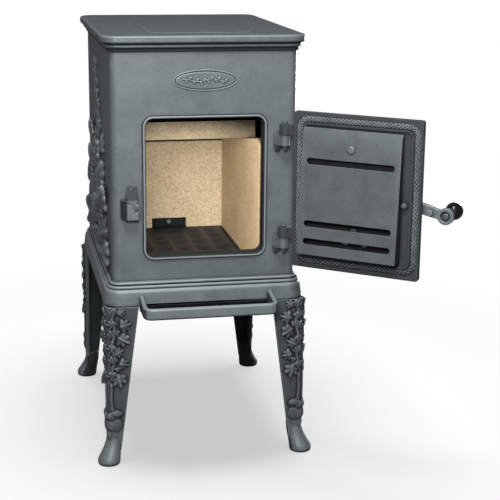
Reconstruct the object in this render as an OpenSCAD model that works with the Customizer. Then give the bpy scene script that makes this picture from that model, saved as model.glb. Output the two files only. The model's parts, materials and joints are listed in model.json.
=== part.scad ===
// Cast-iron wood stove: a box body with a hinged door, on four splayed legs.
// Front faces -Y, +X is the viewer's right, +Z is up and the floor is z = 0.

/* [Body] */
// Width of the body, side to side
body_w = 320; // [310:1:350]
// Depth of the body, front to back
body_d = 440; // [430:1:480]
// Height of the stove above its legs, base casting included
body_h = 463; // [455:1:500]
// Radius of the body's upright corners
corner_r = 13; // [11:0.5:16]
// Thickness of the cast body plates
wall = 6; // [5:0.5:7]
// Length of the front and back plates' returns round the corners
plate_return = 25; // [20:1:30]

/* [Top plate] */
// Height of the plain rim of the top plate
rim_h = 14; // [12:1:16]
// How far the rim stands out from the body
rim_out = 14.5; // [12:0.5:18]
// Height of each of the two cornice steps under the rim
cornice_h = 7; // [6:0.5:8]
// How far the upper cornice step stands out
cornice_out = 8; // [7:0.5:10]
// Thickness of the top plate inside its rim
top_t = 8; // [7:0.5:10]
// Width of the lift-out lid
lid_w = 179; // [150:1:190]
// Depth of the lift-out lid, front to back
lid_d = 227; // [200:1:240]
// Distance from the body's front face to the lid
lid_front = 30; // [25:1:45]
// Radius of the lid's corners
lid_r = 18; // [12:1:24]
// Clearance all round the lid
lid_gap = 0.8; // [0.5:0.1:1.2]
// How far the lid can be lifted while still guided
lid_lift = 30; // [20:1:40]

/* [Base and legs] */
// Height of the base casting's underside above the floor
leg_h = 287; // [270:1:300]
// Height of the base casting
base_h = 42; // [40:1:46]
// How far the base stands out from the body
base_out = 16; // [14:0.5:20]
// Width of the ash lip in front of the base
lip_w = 234; // [200:1:250]
// How far the ash lip stands out from the base
lip_out = 60; // [45:1:70]
// Width of a leg's flange at the top
leg_top_w = 58; // [50:1:62]
// Width of a leg's flange above the foot
leg_low_w = 26; // [22:1:32]
// Height where the foot starts to flare
ankle_h = 45; // [40:1:55]
// Thickness of a leg's flanges
leg_t = 7; // [6:0.5:9]
// Radius of the rounded foot
foot_r = 19.5; // [17:0.5:22]

/* [Door opening] */
// Width of the door opening
open_w = 204; // [190:1:210]
// Height of the door opening
open_h = 239; // [220:1:245]
// Height of the opening's sill above the underside of the base
open_up = 84; // [80:1:90]
// Radius of the opening's corners
open_r = 13; // [10:1:16]
// Depth of the opening's inward return
sill_d = 24; // [18:1:28]
// Width of the raised bright rim round the opening
edge_w = 6; // [5:0.5:8]
// How far that rim stands out
edge_out = 4; // [3:0.5:5]

/* [Door] */
// How far the door overlaps the opening at each side
door_lap = 13; // [12:0.5:14]
// How far the door overlaps the opening above and below
door_lap_z = 15.5; // [14:0.5:17]
// Thickness of the door plate
door_t = 10; // [9:0.5:12]
// Angle that the door stands open
door_open = 142; // [100:1:160]
// Diameter of the braided rope seal
rope_d = 10; // [9:0.5:11]
// Distance from the door's edge to the hinge pins
hinge_side = 20; // [19:0.5:21]
// Distance from the front plate to the hinge pins
hinge_out = 16; // [15:0.5:18]
// Diameter of the hinge pins
pin_d = 6; // [5:0.5:7]
// Radius of the hinge barrels
barrel_r = 8; // [7:0.5:9]
// Height of each hinge barrel
barrel_h = 19; // [16:1:22]
// Height of the lower hinge's joint above the opening's sill
hinge_low_up = 29.5; // [26:0.5:36]
// Distance from the opening's top down to the upper hinge's joint
hinge_high_down = 29; // [22:0.5:36]

/* [Heat shield] */
// Gap between the rope's groove and the shield at each side
shield_gap = 11; // [9:0.5:16]
// Gap between the rope's groove and the shield's foot
shield_low_gap = 10.5; // [9:0.5:14]
// Gap between the rope's groove and the shield's top
shield_top_gap = 7.5; // [6:0.5:12]
// Thickness of the shield casting
shield_t = 4; // [3:0.5:5]
// How far the shield's top stands off the door
shield_top_out = 8.5; // [7:0.5:10]
// How far the shield's bottom stands off the door
shield_low_out = 25; // [20:1:27]
// Distance from the shield's sides to the ends of its air slots
slot_edge = 10; // [9:0.5:20]
// Height of the long air slots
slot_h = 10.5; // [8:0.5:12]

/* [Latch] */
// Distance from the door's free edge in to the lever's pivot
pivot_in = 26.5; // [26:0.5:27]
// Height of the lever's pivot above the opening's sill
pivot_up = 112; // [109:1:115]
// Length of the lever, pivot to ring centre
lever_l = 67; // [60:1:75]
// Thickness of the lever
lever_t = 8; // [6:0.5:9]
// Width of the lever's arm
lever_w = 18; // [15:0.5:20]
// Angle that the lever hangs below level
lever_droop = 13; // [10:1:16]
// Radius of the ring at the lever's end
ring_r = 14; // [12:0.5:16]
// Radius of the ball knob
knob_r = 15; // [13:0.5:17]
// Distance from the lever's ring out to the ball's centre
knob_out = 50; // [44:1:56]
// Distance from the lever's pivot to its latch stud
stud_at = 42; // [41:0.5:44]
// Length of the stroke that latches the lever, in degrees
latch_turn = 24; // [20:1:28]

/* [Air valve] */
// Radius of the turning air disc
disc_r = 38; // [34:1:42]
// Thickness of the air disc
disc_t = 5; // [4:0.5:6]
// Radius of the air holes
air_r = 8; // [6:0.5:9]
// Radius of the circle on which the air holes lie
air_pcr = 24; // [22:1:26]
// Number of air holes
air_n = 4; // [3:1:4]

/* [Firebox] */
// Width of the space beside the boards, where the tie rods stand
rod_space = 25; // [22:0.5:28]
// Thickness of the fireproof boards
board_t = 25; // [20:1:27]
// Gap between the back board and the back plate
back_gap = 4; // [2:1:8]
// Height of the firebox floor above the underside of the base
fire_up = 36; // [33:1:41]
// Height of the side boards at their back end
board_h = 183; // [160:1:190]
// Rise of the side boards' top edge towards the front
board_rise = 56; // [44:1:62]
// Length of the baffle board, front to back
baffle_l = 250; // [200:1:270]
// Thickness of the baffle board
baffle_t = 33; // [25:1:36]
// Thickness of the hearth plate
hearth_t = 11; // [9:0.5:14]
// Depth of the hollows in the hearth plate
hollow_t = 6; // [4:0.5:7]
// Width of the ribs between the hollows
hearth_rib = 13; // [10:0.5:16]
// Number of hollows side by side
hollows_x = 5; // [3:1:6]
// Number of hollows front to back
hollows_y = 8; // [5:1:9]

/* [Flue] */
// Outside diameter of the flue spigot
flue_d = 120; // [110:1:130]
// Wall of the flue spigot
flue_wall = 6; // [5:0.5:8]
// Length of the flue spigot behind its flange
flue_l = 57; // [45:1:70]
// Width of the flue's flange outside the spigot
flange_w = 20; // [18:0.5:22]
// Gap between the top plate and the flue's flange
flue_gap = 2; // [1:0.5:6]

/* [Hidden] */
$fn = 64;

iron = "#5b6668";
iron_dark = "#3a4042";
board = "#cdb48c";
steel = "#a9adae";
black = "#161616";

// Places worked out from the sizes above
front_y = -body_d / 2;
back_y = body_d / 2;
side_x = body_w / 2;
stove_h = leg_h + body_h;
top_h = rim_h + 2 * cornice_h;
body_z0 = leg_h + base_h;
body_z1 = stove_h - top_h;
lid_y = front_y + lid_front + lid_d / 2;
seam = 0.4;
fit = 0.05;
bolt_fit = 0.3;
free_gap = 0.3;
lid_t = 5;
lid_ledge = 10;
lid_crown = 1.3;
relief_t = 20;

// Base casting
base_skirt = 29;
base_in = 8;
floor_t = 6;
floor_z = leg_h + 6;
floor_top = floor_z + floor_t;
lip_wall = 5;
lip_r = 16;
lip_drop = 9;
lip_front_h = 20;
lip_back_h = 28;

// Legs and bolts
leg_r = 10;
leg_x = side_x + base_out;
leg_y = back_y + base_out;
leg_bolt_in = 35;
leg_bolt_r = 5;
leg_pad_t = 8;
leg_pad_w = 40;
nut_h = 8;
rod_r = 4;
rod_in = 12;
rod_back = 40;
rod_x = side_x - wall - rod_in;
rod_y = back_y - rod_back;
boss_h = 15;

// Rounded bead round the opening, cut flush with it
rim_r = edge_w / 2 + 0.3;

// Door, in its closed place
door_gap = 7.5;
door_in_y = front_y - door_gap;
door_out_y = door_in_y - door_t;
hinge_y = front_y - hinge_out;
open_z = leg_h + open_up;
open_mid_z = open_z + open_h / 2;
door_w = open_w + 2 * door_lap;
door_h = open_h + 2 * door_lap_z;
door_x0 = -door_w / 2 + 1;
door_x1 = door_w / 2 + 1;
door_z0 = open_mid_z - door_h / 2 - 1;
door_z1 = door_z0 + door_h;
hinge_x = door_x1 + hinge_side;
hinge_low_z = open_z + hinge_low_up;
hinge_high_z = open_z + open_h - hinge_high_down;
rope_w = open_w + edge_w;
rope_hh = open_h + edge_w;
rope_corner = open_r + edge_w / 2;
groove_w = rope_d + 1;
rope_depth = rope_d - (door_gap - edge_out - free_gap);
lug_h = barrel_h;
lug_r = barrel_r + 2;

// Shield, in the closed door's place
shield_x = (door_x0 + door_x1) / 2 + 6;
shield_bevel = 8;
shield_w = rope_w - groove_w - 2 * shield_gap;
shield_z0 = open_mid_z - (rope_hh - groove_w) / 2 + shield_low_gap;
shield_h = rope_hh - groove_w - shield_low_gap - shield_top_gap - shield_bevel;
slot_l = shield_w - 2 * slot_edge;

// Lever
pivot_x = door_x0 + pivot_in;
pivot_z = open_z + pivot_up;
pivot_r = 5;
lever_y = door_out_y - 1.5;
stud_neck_r = 2.5;
stud_head_r = 5.5;
stud_head_t = 4;

// Catch on the front plate
screw_r = 3;
catch_x1 = door_x0 - 1.5;
catch_x0 = catch_x1 - 31;
catch_z0 = pivot_z - 43;
catch_lip_y0 = front_y - door_gap - 5.5;
catch_lip_y1 = front_y - door_gap - 9.7;
stud_rest_z = pivot_z - stud_at * sin(lever_droop);
catch_lip_z = stud_rest_z - stud_head_r - 1;

// Air valve
disc_x = (door_x0 + door_x1) / 2;
disc_z = open_z + 56;
disc_y = door_out_y - 0.5;
spindle_r = 4;

// Firebox
fire_x = side_x - wall - rod_space - board_t;
fire_w = 2 * fire_x;
fire_z = leg_h + fire_up;
back_in = back_y - wall - back_gap - board_t;
board_y0 = front_y + sill_d + 3;
shoulder_y = board_y0 + 36;
shoulder_drop = 13;
board_z1 = fire_z + board_h;
shoulder_z = board_z1 + board_rise;
tilt = atan(board_rise / (back_in - shoulder_y));
hearth_w = 2 * (fire_x + board_t + 1);
hearth_y0 = front_y + wall + 2;
hearth_y1 = back_y - wall - 2;
notch_x = -4;
notch_w = 70;
notch_h = 20;
cover_t = 17;
cover_y = back_y - base_in - free_gap;

flange_r = flue_d / 2 + flange_w;
flue_z = body_z1 - flue_gap - flange_r;
flue_bore_r = flue_d / 2 - flue_wall;
flange_t = 8;
flue_bolt_r = 4;
flue_pcr = (flange_r + flue_d / 2) / 2;

// ---------- shapes shared by the pieces ----------

// A block with four round upright corners, centred on x and y
module round_block(w, d, h, r) {
  translate([-w / 2 + r, -d / 2, 0]) cube([w - 2 * r, d, h]);
  translate([-w / 2, -d / 2 + r, 0]) cube([w, d - 2 * r, h]);
  for (x = [-1, 1], y = [-1, 1])
    translate([x * (w / 2 - r), y * (d / 2 - r), 0]) cylinder(r = r, h = h);
}

// Runs a flat profile round a rectangle with round corners.
// The profile's x is measured outwards from the rectangle, its y upwards.
module run_round(w, d, r) {
  for (turn = [0, 180]) rotate([0, 0, turn])
    translate([-w / 2 + r, d / 2, 0])
      rotate([90, 0, 90]) linear_extrude(w - 2 * r) children();
  for (turn = [90, 270]) rotate([0, 0, turn])
    translate([-d / 2 + r, w / 2, 0])
      rotate([90, 0, 90]) linear_extrude(d - 2 * r) children();
  for (corner = [[1, 1, 0], [-1, 1, 90], [-1, -1, 180], [1, -1, 270]])
    translate([corner.x * (w / 2 - r), corner.y * (d / 2 - r), 0])
      rotate([0, 0, corner.z]) rotate_extrude(angle = 90)
        translate([r, 0]) children();
}

// A strip of moulding with a rounded outer edge, from -inset to out
module strip(inset, out, z, h, r) {
  translate([-inset, z]) square([inset + out - r, h]);
  translate([out - r - 0.01, z + r]) square([r + 0.01, h - 2 * r]);
  translate([out - r, z + r]) circle(r);
  translate([out - r, z + h - r]) circle(r);
}

// A pointed leaf lying along +x: the overlap of two round plates,
// domed across by a lying cylinder that falls by edge_drop to its edges
module leaf(l, w, t, edge_drop = 0) {
  big = (l * l / 4 + w * w / 4) / w;
  dome = edge_drop > 0 ? (w * w / 4 + edge_drop * edge_drop) / (2 * edge_drop) : 0;
  intersection() {
    translate([l / 2, big - w / 2, 0]) cylinder(r = big, h = t);
    translate([l / 2, w / 2 - big, 0]) cylinder(r = big, h = t);
    if (edge_drop > 0)
      translate([-1, 0, t - dome]) rotate([0, 90, 0]) cylinder(r = dome, h = l + 2);
  }
}

// A stretch of round stem, bent on a circle, lying half sunk in its face
module stem(r, thick, a0, a1) {
  rotate([0, 0, a0]) rotate_extrude(angle = a1 - a0)
    translate([r, 0]) circle(thick, $fn = 24);
}

// The body's upright shell, between two heights
module shell(z0, z1) {
  translate([0, 0, z0]) difference() {
    round_block(body_w, body_d, z1 - z0, corner_r);
    translate([0, 0, -1])
      round_block(body_w - 2 * wall, body_d - 2 * wall, z1 - z0 + 2, corner_r - wall);
  }
}

module hex_head(r, h) {
  cylinder(r = r, h = h, $fn = 6);
}

// Puts the closed door's pieces where the open door stands
module at_door() {
  translate([hinge_x, hinge_y, 0]) rotate([0, 0, door_open])
    translate([-hinge_x, -hinge_y, 0]) children();
}

module at_lever() {
  at_door() translate([pivot_x, 0, pivot_z]) rotate([0, -lever_droop, 0]) children();
}

// Turns a piece that is drawn upwards to point out of the front
module face_front(x, y, z) {
  translate([x, y, z]) rotate([90, 0, 0]) children();
}

// ---------- top ----------

module top_profile() {
  strip(corner_r, 3.5, 0, cornice_h, 2.5);
  strip(corner_r, cornice_out, cornice_h, cornice_h, 2.5);
  strip(corner_r, rim_out, 2 * cornice_h, rim_h, 5);
}

module top_plate() color(iron) difference() {
  union() {
    translate([0, 0, body_z1]) run_round(body_w, body_d, corner_r) top_profile();
    translate([0, 0, stove_h - top_t])
      round_block(body_w - 4, body_d - 4, top_t, corner_r - 2);
    for (x = [-1, 1], y = [-1, 1])
      translate([x * rod_x, y * rod_y, stove_h - top_t - boss_h + 1])
        cylinder(r = rod_r + 6, h = boss_h);
  }
  translate([0, lid_y, stove_h - top_t - 1])
    round_block(lid_w - 2 * lid_ledge, lid_d - 2 * lid_ledge, top_t + 2, lid_r - lid_ledge);
  translate([0, lid_y, stove_h - lid_t])
    round_block(lid_w + 2 * lid_gap, lid_d + 2 * lid_gap, lid_t + 1, lid_r + lid_gap);
  for (x = [-1, 1], y = [-1, 1])
    translate([x * rod_x, y * rod_y, stove_h - top_t - boss_h])
      cylinder(r = rod_r + bolt_fit, h = boss_h);
}

module top_lid() color(iron) {
  under = lid_ledge + 2;
  translate([0, lid_y, stove_h - lid_t]) round_block(lid_w, lid_d, lid_t, lid_r);
  translate([0, lid_y, stove_h - 0.01])
    round_block(lid_w - 4, lid_d - 4, lid_crown, lid_r - 2);
  translate([0, lid_y, stove_h - top_t - 1])
    round_block(lid_w - 2 * under, lid_d - 2 * under, top_t - lid_t + 2, lid_r - under);
}

// ---------- body plates ----------

module hinge_bracket(z) {
  barrel_z = z - barrel_h;
  translate([0, 0, barrel_z]) {
    translate([hinge_x, hinge_y, 0]) cylinder(r = barrel_r, h = barrel_h);
    linear_extrude(barrel_h) polygon([
      [hinge_x - 18, front_y + 1],
      [hinge_x - 4.5, hinge_y - barrel_r + 1.4],
      [hinge_x + 5, hinge_y - 6],
      [hinge_x + barrel_r, hinge_y],
      [hinge_x + barrel_r, front_y + 1]
    ]);
  }
  // the casting's gusset under the bracket
  translate([hinge_x - 14, 0, barrel_z]) rotate([90, 0, 90]) linear_extrude(8)
    polygon([[front_y + 1, -14], [front_y - 0.5, -14], [front_y - 13, 0.5], [front_y + 1, 0.5]]);
}

module front_plate() color(iron) difference() {
  union() {
    intersection() {
      shell(body_z0, body_z1);
      translate([-side_x - 1, front_y - 1, body_z0 - 1])
        cube([body_w + 2, plate_return + 1, body_z1 - body_z0 + 2]);
    }
    // raised rim round the opening, and its return into the firebox
    face_front(0, front_y - edge_out + rim_r, open_mid_z)
      run_round(open_w + edge_w, open_h + edge_w, open_r + edge_w / 2) circle(rim_r);
    face_front(0, front_y + sill_d, open_mid_z)
      round_block(open_w + 10, open_h + 10, sill_d - 1, open_r + 5);
    hinge_bracket(hinge_low_z);
    hinge_bracket(hinge_high_z);
  }
  face_front(0, front_y + sill_d + 1, open_mid_z)
    round_block(open_w, open_h, sill_d + edge_out + 3, open_r);
  for (z = [hinge_low_z, hinge_high_z])
    translate([hinge_x, hinge_y, z - barrel_h - 1])
      cylinder(r = pin_d / 2, h = barrel_h + 2);
  for (z = catch_screw_z())
    face_front(catch_screw_x(), front_y + wall + 1, z) cylinder(r = screw_r + bolt_fit, h = wall + 2);
}

function catch_screw_x() = catch_x0 + 19;
function catch_screw_z() = [catch_z0 + 5, catch_z0 + 50];

// A climbing spray of leaves, drawn in the plane of a side plate:
// x towards the front, y upwards from the plate's bottom edge.
module side_spray() {
  // the stem climbs in four shallow bends
  for (i = [0 : 3]) let (side = i % 2 == 0 ? 1 : -1)
    translate([-side * 60, 48 + i * 80, 0]) rotate([0, 0, side > 0 ? 0 : 180])
      stem(63, 5 - 0.7 * i, -40, 40);
  // broad leaves low down, in pairs that open outwards
  for (i = [0 : 3], side = [-1, 1])
    translate([side * 4, 12 + i * 52, -1])
      rotate([0, 0, side > 0 ? 18 + 9 * i : 162 - 9 * i])
        leaf(128 - 20 * i, 44 - 4 * i, 10 - i, 7 - i);
  // round fruit between them
  for (i = [0 : 2], side = [-1, 1], j = [0 : 1])
    translate([side * (58 - 12 * i + 24 * j), 66 + 52 * i + 10 * j, -7]) sphere(r = 13);
  // small leaves above
  for (i = [0 : 5]) let (side = i % 2 == 0 ? 1 : -1)
    translate([side * 2, 226 + i * 24, -1]) rotate([0, 0, side > 0 ? 38 : 142])
      leaf(48 - 3 * i, 18 - i, 6, 4);
}

module side_plate(side) color(iron) {
  intersection() {
    shell(body_z0, body_z1);
    translate([side > 0 ? 0 : -side_x - 1, front_y + plate_return + seam, body_z0 - 1])
      cube([side_x + 1, body_d - 2 * plate_return - 2 * seam, body_z1 - body_z0 + 2]);
  }
  translate([side * (side_x - 0.5), 0, body_z0])
    rotate([90, 0, side * 90]) mirror([side > 0 ? 1 : 0, 0, 0]) intersection() {
      side_spray();
      translate([-body_d / 2, 3, 0]) cube([body_d, body_z1 - body_z0 - 6, relief_t]);
    }
}

module left_side_plate() side_plate(-1);

module right_side_plate() side_plate(1);

module back_plate() color(iron) difference() {
  intersection() {
    shell(body_z0, body_z1);
    translate([-side_x - 1, back_y - plate_return, body_z0 - 1])
      cube([body_w + 2, plate_return + 1, body_z1 - body_z0 + 2]);
  }
  face_front(0, back_y + 1, flue_z) cylinder(r = flue_bore_r, h = wall + 2);
  for (p = flue_bolt_places())
    face_front(p.x, back_y + 1, p.y) cylinder(r = flue_bolt_r + bolt_fit, h = wall + 2);
  face_front(notch_x, back_y + 1, rear_bolt_z()) cylinder(r = screw_r + bolt_fit, h = wall + 2);
}

function flue_bolt_places() =
  [for (a = [90, 210, 330]) [flue_pcr * cos(a), flue_z + flue_pcr * sin(a)]];
function rear_bolt_z() = fire_z + 12;

// ---------- base ----------

module base_profile() {
  // tall skirt that leans in a little, then two beads and the seat for the body plates
  bead = (base_h - base_skirt) / 4;
  polygon([
    [-base_in, 0], [base_out - 1.5, 0], [base_out, 1.5], [base_out, 5],
    [base_out - 2.4, base_skirt - 5], [base_out - 3.6, base_skirt - 1.8],
    [base_out - 6.2, base_skirt], [-base_in, base_skirt]
  ]);
  translate([-base_in, base_skirt - 1]) square([base_in + base_out - 9, 2 * bead]);
  translate([base_out - 9, base_skirt + bead - 0.4]) circle(bead);
  translate([-base_in, base_skirt + 2 * bead - 2]) square([base_in + base_out - 13, 2 * bead]);
  translate([base_out - 13, base_skirt + 3 * bead - 1]) circle(bead);
  translate([-base_in, base_h - 3]) square([base_in + 2, 3]);
}

// The ash lip: a shallow tray with a level floor and a lower front wall
module lip_block(w, out, r, h) {
  translate([-w / 2, -out + r, 0]) cube([w, out - r, h]);
  translate([-w / 2 + r, -out, 0]) cube([w - 2 * r, out, h]);
  for (x = [-1, 1]) translate([x * (w / 2 - r), -out + r, 0]) cylinder(r = r, h = h);
}

module ash_lip() {
  slope = atan((lip_back_h - lip_front_h) / lip_out);
  translate([0, front_y - base_out + 2, leg_h - lip_drop]) difference() {
    lip_block(lip_w, lip_out + 2, lip_r, lip_back_h);
    translate([0, lip_wall, 4])
      lip_block(lip_w - 2 * lip_wall, lip_out + 2, lip_r - lip_wall, lip_back_h);
    translate([-lip_w, -lip_out - 2, lip_front_h]) rotate([slope, 0, 0])
      cube([2 * lip_w, 2 * lip_out, lip_back_h]);
  }
}

module base_plate() color(iron) difference() {
  union() {
    translate([0, 0, leg_h]) run_round(body_w, body_d, corner_r) base_profile();
    translate([0, 0, floor_z])
      round_block(body_w - 4, body_d - 4, floor_t, corner_r - 2);
    ash_lip();
    for (x = [-1, 1], y = [-1, 1])
      translate([x * (leg_x - leg_bolt_in), y * (leg_y - leg_bolt_in), leg_h])
        cylinder(r = 12, h = floor_t + 6);
    // ledges that carry the hearth plate
    for (x = [-1, 1])
      translate([x * (fire_x + board_t - 10) - 8, hearth_y0 + 20, floor_top - 1])
        cube([16, hearth_y1 - hearth_y0 - 40, fire_z - hearth_t - floor_top + 1]);
  }
  for (x = [-1, 1], y = [-1, 1]) {
    translate([x * (leg_x - leg_bolt_in), y * (leg_y - leg_bolt_in), leg_h - 1])
      cylinder(r = leg_bolt_r + bolt_fit, h = base_h);
    translate([x * rod_x, y * rod_y, leg_h - 1]) cylinder(r = rod_r + bolt_fit, h = base_h);
  }
}

// ---------- legs ----------

// Quarter section of a rounded square: outer size s, corner radius r
module corner_section(s, r) {
  translate([-s, -s]) square([s, s - r]);
  translate([-s, -s]) square([s - r, s]);
  translate([-r, -r]) circle(r);
}

// What a flange loses below its slanting inner edge: x is the distance in
// from the leg's corner, y is height
module flange_cut() {
  translate([0, 0, -leg_top_w - 10]) linear_extrude(leg_top_w + 20) polygon([
    [leg_top_w + 10, -1], [leg_low_w - 1, -1], [leg_low_w - 1, ankle_h - 6],
    [leg_low_w, ankle_h], [leg_top_w, leg_h], [leg_top_w, leg_h + 1], [leg_top_w + 10, leg_h + 1]
  ]);
}

// Places a flange's drawing on the leg's back face and on its right face
module leg_faces() {
  rotate([90, 0, 180]) children();
  rotate([90, 0, 90]) mirror([1, 0, 0]) children();
}

// Leaves down a flange, in the same plane
module leg_spray() {
  for (i = [0 : 6]) {
    z = leg_h - 24 - i * 19;
    w = leg_low_w + (leg_top_w - leg_low_w) * (z - ankle_h) / (leg_h - ankle_h);
    translate([w * 0.48, z, -1]) rotate([0, 0, i % 2 == 0 ? -44 : -136])
      leaf(0.62 * w, 0.3 * w, 6, 4);
  }
  translate([leg_low_w * 0.5, leg_h - 150, -1]) rotate([0, 0, -84]) leaf(40, 12, 5, 3);
  translate([leg_low_w * 0.45, 94, -2]) rotate([0, 0, -80]) leaf(34, 18, 6, 4);
}

module leg_foot() {
  difference() {
    hull() {
      translate([-leg_r, -leg_r, ankle_h]) cylinder(r = leg_r - 0.6, h = 2, $fn = 32);
      translate([1.6 - leg_low_w, 0.6 - leg_t, ankle_h - 4]) cube([4, leg_t - 1.2, 4]);
      translate([0.6 - leg_t, 1.6 - leg_low_w, ankle_h - 4]) cube([leg_t - 1.2, 4, 4]);
      translate([-2.5, -2.5, 11]) sphere(r = foot_r, $fn = 32);
    }
    translate([-4 * foot_r, -4 * foot_r, -2 * foot_r]) cube([8 * foot_r, 8 * foot_r, 2 * foot_r]);
    translate([-leg_low_w - 4, -leg_low_w - 4, -1]) cylinder(r = 20, h = ankle_h + 2);
  }
}

// A whole leg for the back right corner
module leg() {
  translate([leg_x, leg_y, 0]) difference() {
    union() {
      difference() {
        translate([0, 0, ankle_h - 6]) linear_extrude(leg_h - ankle_h + 6) difference() {
          corner_section(leg_top_w, leg_r);
          translate([-leg_t, -leg_t]) corner_section(leg_top_w, leg_r - leg_t);
        }
        leg_faces() flange_cut();
      }
      leg_faces() leg_spray();
      translate([-leg_t - leg_pad_w, -leg_t - leg_pad_w, leg_h - leg_pad_t])
        cube([leg_pad_w + 1, leg_pad_w + 1, leg_pad_t]);
      leg_foot();
    }
    translate([-leg_bolt_in, -leg_bolt_in, leg_h - leg_pad_t - 1])
      cylinder(r = leg_bolt_r + bolt_fit, h = leg_pad_t + 2);
  }
}

module leg_back_right() color(iron) leg();

module leg_back_left() color(iron) mirror([1, 0, 0]) leg();

module leg_front_right() color(iron) mirror([0, 1, 0]) leg();

module leg_front_left() color(iron) mirror([1, 0, 0]) mirror([0, 1, 0]) leg();

module leg_bolts() color(steel) for (x = [-1, 1], y = [-1, 1])
  translate([x * (leg_x - leg_bolt_in), y * (leg_y - leg_bolt_in), 0]) {
    translate([0, 0, leg_h - leg_pad_t - 6.5]) hex_head(9, 6.5);
    translate([0, 0, leg_h - leg_pad_t - 1])
      cylinder(r = leg_bolt_r, h = floor_top + nut_h + 4 - (leg_h - leg_pad_t - 1));
  }

module leg_nuts() color(steel) for (x = [-1, 1], y = [-1, 1])
  translate([x * (leg_x - leg_bolt_in), y * (leg_y - leg_bolt_in), floor_top])
    difference() {
      hex_head(9, nut_h);
      translate([0, 0, -1]) cylinder(r = leg_bolt_r + fit, h = nut_h + 2);
    }

module tie_rods() color(steel) for (x = [-1, 1], y = [-1, 1])
  translate([x * rod_x, y * rod_y, leg_h - 6])
    cylinder(r = rod_r, h = stove_h - top_t - leg_h + 5);

module tie_rod_nuts() color(steel) for (x = [-1, 1], y = [-1, 1])
  translate([x * rod_x, y * rod_y, floor_z - 7]) difference() {
    hex_head(7.5, 7);
    translate([0, 0, -1]) cylinder(r = rod_r + fit, h = 9);
  }

// ---------- badge and catch ----------

badge_w = 110;
badge_h = 37;
badge_z = (open_z + open_h + edge_w + body_z1) / 2 + 5;

module oval(w, h, t) {
  linear_extrude(t)
    polygon([for (a = [0 : 6 : 354]) [w / 2 * cos(a), h / 2 * sin(a)]]);
}

module badge_plate() color(iron) face_front(0, front_y, badge_z) {
  oval(badge_w, badge_h, 1.6);
  difference() {
    oval(badge_w, badge_h, 2.6);
    translate([0, 0, 1]) oval(badge_w - 7, badge_h - 7, 3);
  }
}

// The stud's path, cut from the catch as part of a ring round the pivot
module stud_path(half, y0, y1) {
  translate([pivot_x, y0, pivot_z]) rotate([90, 0, 0]) rotate([0, 0, 150])
    rotate_extrude(angle = 30 + lever_droop + latch_turn + 5)
      translate([stud_at - half, 0]) square([2 * half, y0 - y1]);
}

module door_catch() color(iron) difference() {
  union() {
    // lip that holds the lever's stud
    translate([0, 0, catch_z0]) linear_extrude(catch_lip_z - catch_z0) polygon([
      [catch_x0 + 6, catch_lip_y0], [catch_x0 + 11, catch_lip_y1],
      [catch_x1 - 2, catch_lip_y1], [catch_x1, catch_lip_y1 + 2], [catch_x1, catch_lip_y0]
    ]);
    // slanting left cheek
    translate([0, 0, catch_z0]) linear_extrude(catch_lip_z - catch_z0 + 6) polygon([
      [catch_x0, front_y], [catch_x0 + 11, catch_lip_y1],
      [catch_x0 + 12, catch_lip_y1], [catch_x0 + 6, front_y]
    ]);
    // web under the slot
    translate([0, 0, catch_z0]) linear_extrude(9) polygon([
      [catch_x0 + 2, front_y], [catch_x0 + 8, catch_lip_y0 - 1],
      [catch_x1, catch_lip_y0 - 1], [catch_x1, front_y]
    ]);
    // ramp above, along which the stud's head slides in
    translate([catch_x0 + 11, 0, catch_z0]) rotate([90, 0, 90]) linear_extrude(18)
      polygon([[front_y, 8], [front_y - 7, 8], [front_y - 7, 33], [front_y, 58]]);
  }
  stud_path(stud_neck_r + 0.6, catch_lip_y0 + 2, catch_lip_y1 - 1);
  for (z = catch_screw_z())
    face_front(catch_screw_x(), front_y + 1, z)
      cylinder(r = screw_r + fit, h = z < pivot_z - 20 ? 9 : 3);
}

module catch_screws() color(steel) for (z = catch_screw_z())
  face_front(catch_screw_x(), front_y + wall + 4, z) {
    hex_head(5.5, 4);
    cylinder(r = screw_r, h = wall + 4 + (z < pivot_z - 20 ? 7 : 1));
  }

// ---------- hinge and door ----------

module hinge_pins() color(steel) for (z = [hinge_low_z, hinge_high_z])
  translate([hinge_x, hinge_y, 0]) {
    translate([0, 0, z - barrel_h - 7])
      cylinder(r = pin_d / 2, h = barrel_h + 7 + lug_h + free_gap + 1);
    translate([0, 0, z + lug_h + 2 * free_gap]) cylinder(r = pin_d / 2 + 1.5, h = 2);
    translate([0, 0, z + lug_h + 2 * free_gap + 2])
      cylinder(r1 = pin_d / 2 + 1.5, r2 = pin_d / 2 - 1, h = 1.5);
  }

module rope_ring(w, d, r) {
  face_front((door_x0 + door_x1) / 2 - 1, 0, open_mid_z) run_round(w, d, r) children();
}

module door_lug(z) {
  translate([0, 0, z + free_gap]) {
    translate([hinge_x, hinge_y, 0]) cylinder(r = lug_r, h = lug_h);
    translate([door_x1 - 28, door_out_y - 5.5, 0])
      cube([hinge_x - door_x1 + 28, door_t + 1, lug_h]);
  }
}

module door_blank() {
  translate([(door_x0 + door_x1) / 2, door_in_y, (door_z0 + door_z1) / 2])
    rotate([90, 0, 0]) round_block(door_w, door_h, door_t, 4);
}

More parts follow.
